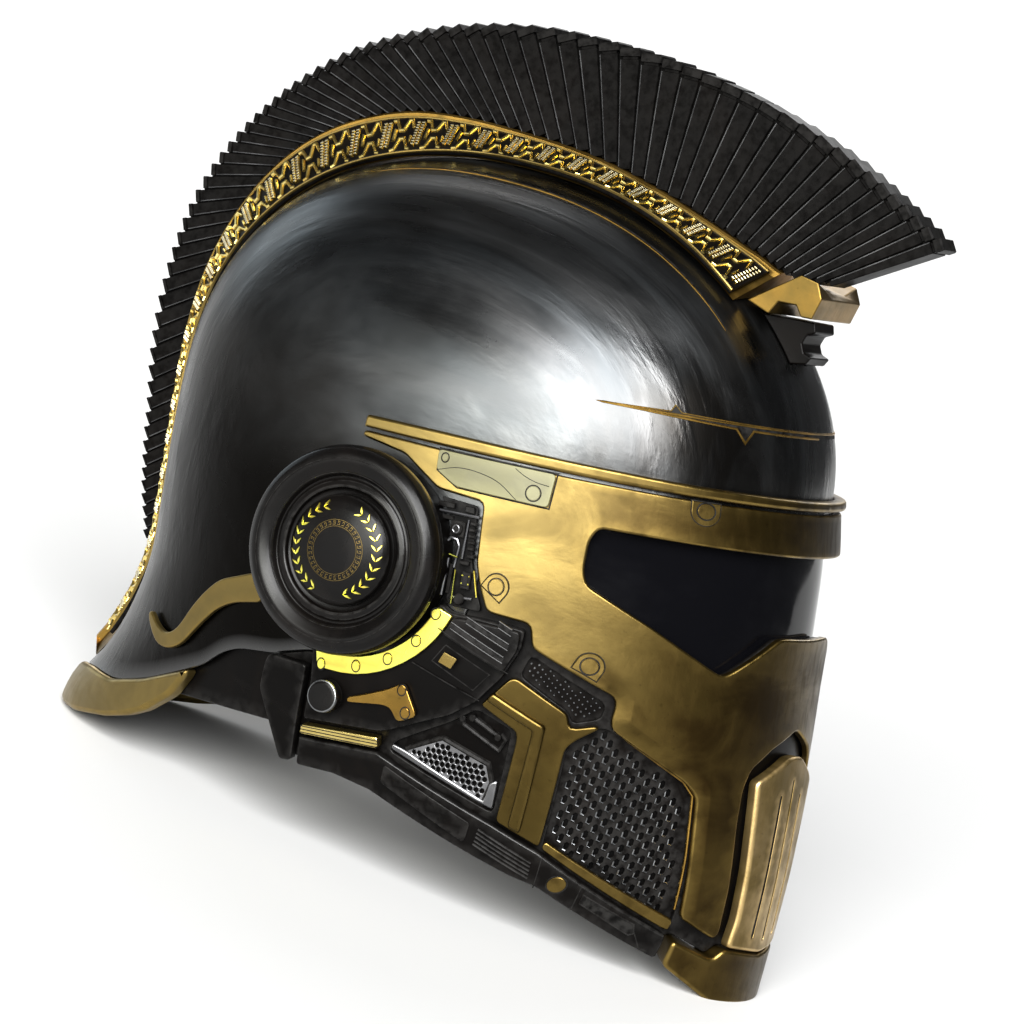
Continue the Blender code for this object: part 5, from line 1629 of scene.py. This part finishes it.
class HELMET_OT_face(bpy.types.Operator):
    """Add the faceplate, visor, brow lip, struts and the plates let into the face"""

    bl_idname = "helmet.face"
    bl_label = "Face"

    def execute(self, context):
        for name, shape, finish in shape_of_face(context.scene.helmet_sizes):
            add_piece("smooth_" + name, shape, finish, [name])
        top, insert_lift = LAYER_GAP + PLATE_WALL, PLATE_WALL + 2 * LAYER_GAP
        add_plate("gold_strut", "strut_gold", "cheek_strut", CHEEK_STRUT, LAYER_GAP, PLATE_WALL,
                  1 * MM)
        add_plate("khaki_insert", KHAKI, "temple_insert", TEMPLE_INSERT, insert_lift, 1.2 * MM,
                  0.3 * MM)
        add_plate("gold_strut_rib", "strut_gold", None, STRUT_RIB, top, 2.4 * MM, 1.5 * MM, gap=0,
                  radius=1 * MM)
        clip = np.concatenate([disc(5.4 * MM, 28)[7:22], [(4 * MM, -5.4 * MM), (4 * MM, 5.4 * MM)]])
        clips, lines = [], []
        for angle, up, turn in CLIPS:
            spot = flat([(angle, up)])[0]
            clips.append(laid(set_down(block(clip, 0.6 * MM, 0.3 * MM), spot, turn), top))
            line = bead(clip, 0.42 * MM, 0.2 * MM, closed=True)
            lines.append(laid(set_down(line, spot, turn), top))
        add_pair("gold_clips", joined(clips), GOLD)
        add_pair("gold_cheek_edge", strand(CHEEK_EDGE, 0.4 * MM, 0.5 * MM, 0.7 * MM), "rail_gold")
        heads, rings = screws(GOLD_SCREWS, top + 0.6 * MM)
        add_pair("gold_clip_screws", heads, GOLD)
        insert_top = insert_lift + 1.2 * MM
        insert_heads, insert_rings = screws(INSERT_SCREWS, insert_top)
        add_pair("khaki_insert_screws", insert_heads, KHAKI)
        arcs = []
        for rows in INSERT_ARCS:
            corners = np.array(rows[::-1], float)
            run = np.linspace(corners[0, 0], corners[-1, 0], 20)
            arcs.append(np.column_stack([run, along(corners, run, 1)]))
        border = strand(TEMPLE_INSERT, top, 0.4 * MM, 0.12 * MM, closed=True)
        lines += [rings, insert_rings, border, seams(arcs, insert_top)]
        add_pair("dark_seams", joined(lines), LINE)
        return {"FINISHED"}


class HELMET_OT_grilles(bpy.types.Operator):
    """Add the pierced grilles behind the openings"""

    bl_idname = "helmet.grilles"
    bl_label = "Grilles"

    def execute(self, context):
        top = -(FRAME_WALL + LAYER_GAP)
        lift, back, under = top - MESH_WALL, 0.4 * MM, -1 * MM
        slot = evened(box_outline(1.7 * MM, 3.4 * MM), 0.7 * MM, 1.1 * MM)
        spots = staggered(CHEEK_OPENING, 5.6 * MM, 3.3 * MM, 2.6 * MM)
        add_plate("pierced_cheek_grille", "grille_black", "cheek_grille", CHEEK_OPENING,
                  lift + back, MESH_WALL - back, 0.25 * MM, gap=under, steps=2,
                  holes=[slot + spot for spot in spots])
        add_plate("cheek_grille_back", LINE, None, CHEEK_OPENING, lift, back, 0.05 * MM,
                  gap=under, step=5 * MM, steps=1)
        hook = bead(np.array([(1.15, 0.6), (1.2, -1.5), (-0.2, -2)]) * MM, 0.34 * MM, 0.7 * MM)
        add_pair("cheek_grille_lips", scattered(hook, spots, top), INSERT_STEEL)
        add_plate("pierced_temple_grille", "grille_black", "temple_grille", TEMPLE_OPENING, lift,
                  MESH_WALL, 0.3 * MM, gap=under)
        dot = block(disc(0.5 * MM, 6), 0.45 * MM, 0.2 * MM)
        spots = staggered(TEMPLE_OPENING, 3.3 * MM, 1.6 * MM, 1.3 * MM)
        add_pair("temple_grille_dots", scattered(dot, spots, top), INSERT_STEEL)
        add_plate("pierced_jaw_grille", "grille_black", "jaw_grille", JAW_OPENING, lift,
                  MESH_WALL, 0.3 * MM, gap=under)
        spots = staggered(JAW_MESH, 2.9 * MM, 2.5 * MM, 1.7 * MM)
        add_plate("jaw_cells", MESH, None, JAW_MESH, top + 0.3 * MM, 1.2 * MM, 0.35 * MM, gap=0,
                  steps=2, holes=[disc(1.1 * MM, 6) + spot for spot in spots])
        frame_line = strand(JAW_MESH, top, 1.3 * MM, 2.0 * MM, closed=True)
        add_pair("jaw_cell_frame", frame_line, "grille_black")
        add_plate("jaw_sill", MESH, None, JAW_SILL, top, 2.4 * MM, 0.9 * MM, gap=0, step=3 * MM,
                  radius=1 * MM)
        bracket = [
            strand(JAW_BRACKET, top, 0.9 * MM, 1.8 * MM),
            strand(JAW_BRACKET_ARM, top, 1.2 * MM, 2.4 * MM),
            bosses(JAW_BRACKET_BOLTS, disc(1.5 * MM, 10), 3 * MM, 0.4 * MM, top),
        ]
        add_pair("jaw_bracket", joined(bracket), BLACK)
        return {"FINISHED"}


class HELMET_OT_jaw(bpy.types.Operator):
    """Add the bars and tabs along the jaw, and the chin"""

    bl_idname = "helmet.jaw"
    bl_label = "Jaw and chin"

    def execute(self, context):
        bar_wall, fin_wall = 3.4 * MM, 4.4 * MM
        top = LAYER_GAP + bar_wall
        add_plate("black_jaw_bar", BLACK, "jaw_bar", JAW_BAR, LAYER_GAP, bar_wall, 0.8 * MM)
        add_plate("brass_fins", "key_gold", "jaw_fins", JAW_FINS, LAYER_GAP, fin_wall, 0.6 * MM,
                  radius=1 * MM)
        add_pair("fin_gaps", seams(FIN_GAPS, LAYER_GAP + fin_wall, 0.7 * MM), LINE)
        add_plate("gold_cheek_sill", GOLD, None, CHEEK_SILL, LAYER_GAP, 2 * MM, 0.7 * MM, gap=0,
                  radius=0.8 * MM)
        add_pair("bar_bright_edge", strand(BAR_EDGE, top - 0.5 * MM, 0.45 * MM, 0.7 * MM), "ear_black")
        add_pair("bar_ribs", strands(BAR_RIBS, top, 0.5 * MM, 0.9 * MM), "grille_black")
        add_plate("bar_panel", BLACK, None, BAR_PANEL, top - SUNK, 0.9 * MM, 0.4 * MM, gap=0,
                  radius=1 * MM)
        add_plate("bar_recess", LINE, None, BAR_RECESS, top - SUNK, 0.28 * MM, 0.05 * MM, gap=0,
                  radius=0.8 * MM, steps=1)
        boss, ring = screws(BAR_BOSS, top)
        add_pair("bar_seams", joined([seams(BAR_SEAMS, top, 0.6 * MM), ring]), LINE)
        rim = strand(BAR_RECESS, top, 0.4 * MM, 0.5 * MM, closed=True)
        add_pair("bar_recess_rim", rim, BLACK)
        add_pair("bar_boss", boss, GOLD)
        add_plate("black_rear_tab", BLACK, "rear_tab", REAR_TAB, LAYER_GAP, fin_wall, 0.8 * MM)
        self.add_chin()
        return {"FINISHED"}

    def add_chin(self):
        slots = []
        for angle, top, bottom in CHIN_SLOTS:
            (across, high), (_, low) = flat([(angle, top), (angle, bottom)])
            slot = box_outline(1.5 * MM, high - low) + (across, (high + low) / 2)
            slots.append(evened(slot, 0.7 * MM, 1.5 * MM))
        chin = plate(
            whole(CHIN_PLATE), LAYER_GAP, 5 * MM, 1.8 * MM, holes=slots, step=3 * MM, steps=4,
            hole_bevel=0.25 * MM,
        )
        add_piece("gold_chin_plate", chin, "chin_gold", ["chin_plate"])
        # painted shade: dark blocks fill the slots nearly to the top
        shade_fills = [block(inset(slot, -0.1 * MM), 4.7 * MM, 0.1 * MM) for slot in slots]
        add_piece("chin_slot_shade_blocks", laid(joined(shade_fills), LAYER_GAP), LINE)
        foot_lift = CHIN_FOOT_PROUD - CHIN_FOOT_WALL
        foot = plate(whole(CHIN_FOOT), foot_lift, CHIN_FOOT_WALL, 1.6 * MM, 0, step=3 * MM)
        add_piece("gold_chin_foot", foot, GOLD, ["chin_foot"])


class HELMET_OT_ridge(bpy.types.Operator):
    """Add the ridge, its key bands and the bracket at its front"""

    bl_idname = "helmet.ridge"
    bl_label = "Ridge and key ornament"

    def execute(self, context):
        sizes = context.scene.helmet_sizes
        add_piece("gold_ridge", make_ridge(), "rail_gold", ["crest_ridge"])
        add_pair("black_key_band", make_band(), BLACK, ["key_band"])
        add_pair("brass_key", make_key(sizes, KEY_LINES, sizes.key_bead), "key_gold", ["key_relief"])
        bars = make_key(sizes, KEY_BARS, 0.4 * sizes.key_bead, 0.75 * sizes.key_bead)
        add_pair("ribbed_key_bars", bars, "key_silver")
        run = np.linspace(*BAND_ANGLES, 240)
        scale = np.array((BAND_DEGREE, BAND_ACROSS, 1))
        for name, share in BAND_THREADS.items():
            line = np.column_stack([run, 0 * run + share])
            thread = bead(line * scale[:2], 0.45 * MM, 0.9 * MM)
            thread.points = on_band(thread.points / scale)
            add_pair(f"gold_band_{name}", thread, GOLD)
        softened("crest_bracket", "gold_bracket", "rail_gold", 0.7 * MM)
        softened("crest_lug", "dark_lug", BLACK, 0.8 * MM)
        return {"FINISHED"}


class HELMET_OT_crest(bpy.types.Operator):
    """Add the crest's blades"""

    bl_idname = "helmet.crest"
    bl_label = "Crest"

    def execute(self, context):
        sizes = context.scene.helmet_sizes
        add_piece("black_blades", make_blades(sizes), RUBBER, ["crest_blades"], sharp=25)
        add_pair("blade_edges", make_blade_edges(sizes), "edge_steel")
        return {"FINISHED"}


class HELMET_OT_ears(bpy.types.Operator):
    """Add the turned ear covers"""

    bl_idname = "helmet.ears"
    bl_label = "Ear covers"

    def execute(self, context):
        back = HALF_WIDTH + EAR_STANDOFF + 0.3 * MM
        cap = ear_profile(CAP_ROWS)
        add_pair("turned_ear_disc", lathe(ear_profile(DISC_ROWS), back), "ear_black", ["ear_disc"])
        rings = [lathe((np.array(DISC_RING) + place) * MM, back) for place in DISC_RING_PLACES]
        add_pair("ear_disc_rings", joined(rings), "grille_black")
        add_pair("domed_ear_cap", lathe(cap, back), "ear_black", ["ear_cap"])

        def on_cap(points, lift):
            radius = np.linalg.norm(points, axis=1)
            rows = cap[: int(np.argmax(cap[:, 0])) + 1]
            depth = np.interp(radius, rows[:, 0], rows[:, 1])
            return np.column_stack([-(back + depth + lift), points[:, 0], points[:, 1]])

        wreath = self.make_wreath(context.scene.helmet_sizes.leaves)
        add_pair("wreath", laid(wreath, 0, on_cap), BRIGHT)
        add_pair("key_ring", laid(self.make_key_ring(), 0, on_cap), GOLD)
        for side in ("right", "left"):
            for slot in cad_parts["ear_base_" + side].material_slots:
                slot.material = finishes()[BLACK]
        return {"FINISHED"}

    def make_wreath(self, count):
        """Pairs of leaves up both sides of a circle."""
        leaf = block(np.array(LEAF) * MM, 0.6 * MM, 0.25 * MM)
        pair = joined([leaf, leaf.mirrored()])
        leaves = []
        for side in (-1, 1):
            for turn in np.radians(np.linspace(*WREATH_ANGLES, count)):
                middle = np.array((math.sin(turn) * side, math.cos(turn))) * WREATH_RADIUS
                spin = math.degrees(math.atan2(math.sin(turn), -math.cos(turn) * side)) - 90
                leaves.append(set_down(pair, middle, spin))
        return joined(leaves)

    def make_key_ring(self):
        """A running key round the ear's axis, between two thin circles."""
        share, radius = np.array(KEY_RING_LINE).T
        beads = []
        for number in range(KEY_RING_REPEATS):
            turn = (number + share) * (2 * math.pi / KEY_RING_REPEATS)
            line = np.column_stack([radius * np.cos(turn), radius * np.sin(turn)])
            beads.append(bead(line * MM, 0.13 * MM, 0.22 * MM, sides=4))
        for radius in KEY_RING_BORDERS:
            beads.append(bead(disc(radius * MM, 72), 0.1 * MM, 0.18 * MM, closed=True, sides=4))
        return joined(beads)


class HELMET_OT_ear_trim(bpy.types.Operator):
    """Add the plates, strip, dial and port panel round the ear covers"""

    bl_idname = "helmet.ear_trim"
    bl_label = "Ear trim"

    def execute(self, context):
        clear = EAR_RADIUS - 1 * MM
        rim = clear + STRIP_WIDTH
        top = 2 * LAYER_GAP + MOUNT_WALL
        strip_wall, vent_wall, port_wall = 1.8 * MM, 3.5 * MM, 1.6 * MM
        strip_top, vent_top = top + strip_wall, top + vent_wall
        mount = ear_arc(clear, -108, -18) + MOUNT_EDGE
        strip = ear_arc(clear, -104, -20) + ear_arc(rim, -20, -100)
        vent = ear_arc(rim + 0.3 * MM, -30, -20, 5) + VENT_EDGE
        port = ear_arc(clear, -16, 42) + PORT_EDGE
        add_plate("black_mount", BLACK, "mount_plate", mount, LAYER_GAP, MOUNT_WALL, 0.9 * MM)
        add_plate("yellow_strip", BRIGHT, "ear_strip", strip, top, strip_wall, 0.5 * MM,
                  radius=1 * MM)
        add_plate("black_vent", BLACK, "vent_plate", vent, top, vent_wall, 0.8 * MM)
        add_plate("gold_arm", "rail_gold", "dial_arm", DIAL_ARM, top, strip_wall, 0.5 * MM,
                  radius=3 * MM)
        add_plate("black_port", LINE, "port_panel", port, LAYER_GAP, port_wall, 0.4 * MM)
        self.add_port(LAYER_GAP + port_wall)
        heads, rings = screws(STRIP_SCREWS, strip_top)
        add_pair("strip_screws", heads, BRIGHT)
        arm_heads, arm_rings = screws(ARM_SCREWS, strip_top)
        add_pair("arm_screws", arm_heads, "rail_gold")
        slots = strands(VENT_SLOTS, vent_top, 1.1 * MM, 0.15 * MM)
        dark = [rings, arm_rings, slots, seams(VENT_LINES, vent_top), seams(MOUNT_LINES, top)]
        add_pair("trim_seams", joined(dark), LINE)
        lips = [np.array(rows) + (0, aside) for rows in VENT_SLOTS for aside in (-0.8, 0.8)]
        add_pair("vent_lips", strands(lips, vent_top, 0.4 * MM, 0.45 * MM), "ear_black")
        add_plate("gold_window", GOLD, None, WINDOW, vent_top - SUNK, 0.5 * MM, 0.15 * MM, gap=0,
                  step=3 * MM, radius=0.2 * MM, pitch=0.5 * MM, steps=2)
        self.add_dial()
        return {"FINISHED"}

    def add_dial(self):
        """The round boss behind the jaw, where the frame has its own."""
        low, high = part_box("jaw_dial_right")
        middle = (np.array((low + high) / 2) - EAR_PLACE) @ TIPPED.T
        knob = lathe(ear_profile(KNOB_ROWS), -high.x, 64)
        ring = lathe(np.array(KNOB_RING) * MM, -high.x, 64)
        for form in (knob, ring):
            form.points += (0, middle[1], middle[2])
        add_pair("turned_dial", knob, "ear_black", ["jaw_dial"])
        add_pair("dial_ring", ring, INSERT_STEEL)

    def add_port(self, lift):
        """Small blocks, pipes and yellow marks packed into the port panel."""
        boxes = []
        for angle, up, width, tall, rise in PORT_BLOCKS:
            box = block(box_outline(width * MM, tall * MM), rise * MM, 0.3 * MM)
            boxes.append(laid(set_down(box, flat([(angle, up)])[0]), lift))
        boxes += [
            bosses([PORT_HEAD], disc(2.6 * MM, 16), 3.2 * MM, 0.5 * MM, lift),
            bosses([(65.4, -6.6)], disc(2.4 * MM, 16), 3 * MM, 0.5 * MM, lift),
            bosses([(71.3, -6), (70.4, 4.5)], disc(1.3 * MM, 10), 2.4 * MM, 0.4 * MM, lift),
        ]
        pipes = strands(PORT_PIPES, lift + 0.8 * MM, 0.7 * MM, 1.1 * MM)
        ring = bead(disc(1.5 * MM, 16) + flat([PORT_HEAD])[0], 0.35 * MM, 0.5 * MM, closed=True)
        marks = strands(PORT_LIGHTS, lift + 2.4 * MM, 0.4 * MM, 0.6 * MM)
        add_pair("port_boxes", joined(boxes), BLACK)
        add_pair("port_pipes", joined([pipes, laid(ring, lift + 3.2 * MM)]), MESH)
        add_pair("port_marks", marks, BRIGHT)


STUDIO_LIGHTS = [
    # name, way to it, width in degrees, strength, colour
    ("key_light", (-0.84, -0.32, 0.54), 44, 9.2, (1, 1, 1)),
    ("low_light", (-0.99, 0.04, 0.13), 34, 4.4, (1, 1, 0.94)),
    ("rim_light", (0.28, 0.93, 0.24), 30, 0.4, (0.82, 0.93, 1)),
    ("sky_glow", (0.75, 0.35, 0.6), 50, 1.7, (1, 1, 1)),
]
# Floor in metres: along and height, from half its width on either side
FLOOR_PROFILE = [(-60, 0), (40, 0), (160, 5)]
FLOOR_HALF_WIDTH = 90
# Camera against the upright helmet, in degrees, and the place in the middle of the picture
CAMERA_TURNS = (24.5, 4.5, 10.5)
CAMERA_TARGET = np.array((7.138, -12.046, 19.057)) * MM
CAMERA_DISTANCE = 2.0
CAMERA_LENS, SENSOR_WIDTH = 161.71875, 36


class HELMET_OT_stage(bpy.types.Operator):
    """Add the floor, the soft lights and the camera"""

    bl_idname = "helmet.stage"
    bl_label = "Studio"

    def execute(self, context):
        scene = context.scene
        rows = [
            [(along, side, up) for along, up in FLOOR_PROFILE]
            for side in (-FLOOR_HALF_WIDTH, FLOOR_HALF_WIDTH)
        ]
        sheet = grid(np.array(rows, float))
        mesh = bpy.data.meshes.new("studio_floor")
        mesh.from_pydata(sheet.points.tolist(), [], sheet.quads.tolist())
        mesh.materials.append(make_floor(tuple(scene.helmet_colours.floor)))
        floor = bpy.data.objects.new("studio_floor", mesh)
        scene.collection.objects.link(floor)
        world = bpy.data.worlds.new("pale_studio")
        world.use_nodes = True
        background = world.node_tree.nodes["Background"]
        background.inputs["Color"].default_value = (0.95, 0.97, 1.0, 1)
        background.inputs["Strength"].default_value = 0.12
        scene.world = world
        scene.view_settings.view_transform = "Standard"
        self.add_camera(scene)
        for name, way, width, strength, colour in STUDIO_LIGHTS:
            data = bpy.data.lights.new(name, "SUN")
            data.angle = math.radians(width)
            data.energy = strength
            data.color = colour
            light = bpy.data.objects.new(name, data)
            light.rotation_euler = Vector(way).to_track_quat("Z", "Y").to_euler()
            scene.collection.objects.link(light)
        return {"FINISHED"}

    def add_camera(self, scene):
        """The photo's view: from the helmet's right and a little in front, and rolled."""
        yaw, rise, roll = (math.radians(angle) for angle in CAMERA_TURNS)
        back = np.array((
            -math.cos(rise) * math.cos(yaw), -math.cos(rise) * math.sin(yaw), math.sin(rise),
        ))
        level_right = np.array((math.sin(yaw), -math.cos(yaw), 0))
        level_up = np.cross(back, level_right)
        right = math.cos(roll) * level_right + math.sin(roll) * level_up
        up = np.cross(back, right)
        place = stand(CAMERA_TARGET + CAMERA_DISTANCE * back)
        axes = np.stack([right @ TIPPED, up @ TIPPED, back @ TIPPED], axis=1)
        data = bpy.data.cameras.new("photo_camera")
        data.sensor_width = SENSOR_WIDTH
        data.lens = CAMERA_LENS
        data.clip_end = 250
        camera = bpy.data.objects.new("photo_camera", data)
        scene.collection.objects.link(camera)
        camera.matrix_world = Matrix.Translation(place) @ Matrix(axes.tolist()).to_4x4()
        scene.camera = camera


OPERATORS = (
    HELMET_OT_stage, HELMET_OT_skull, HELMET_OT_face, HELMET_OT_grilles, HELMET_OT_jaw,
    HELMET_OT_ridge, HELMET_OT_crest, HELMET_OT_ears, HELMET_OT_ear_trim,
)


class HELMET_PT_panel(bpy.types.Panel):
    """Steps and settings of the helmet's looks"""

    bl_idname = "HELMET_PT_panel"
    bl_label = "Roman helmet"
    bl_space_type = "VIEW_3D"
    bl_region_type = "UI"
    bl_category = "Helmet"

    def draw(self, context):
        for group in (context.scene.helmet_sizes, context.scene.helmet_colours):
            column = self.layout.column()
            for name in group.bl_rna.properties.keys():
                if name not in ("rna_type", "name"):
                    column.prop(group, name)
        for operator in OPERATORS:
            self.layout.operator(operator.bl_idname)


CLASSES = (HelmetSizes, HelmetColours, *OPERATORS, HELMET_PT_panel)


def register():
    for made in CLASSES:
        bpy.utils.register_class(made)
    bpy.types.Scene.helmet_sizes = bpy.props.PointerProperty(type=HelmetSizes)
    bpy.types.Scene.helmet_colours = bpy.props.PointerProperty(type=HelmetColours)


def unregister():
    del bpy.types.Scene.helmet_colours
    del bpy.types.Scene.helmet_sizes
    for made in reversed(CLASSES):
        bpy.utils.unregister_class(made)


def main():
    register()
    for operator in OPERATORS:
        name = operator.bl_idname.split(".")[1]
        getattr(bpy.ops.helmet, name)()


if __name__ == "__main__":
    main()
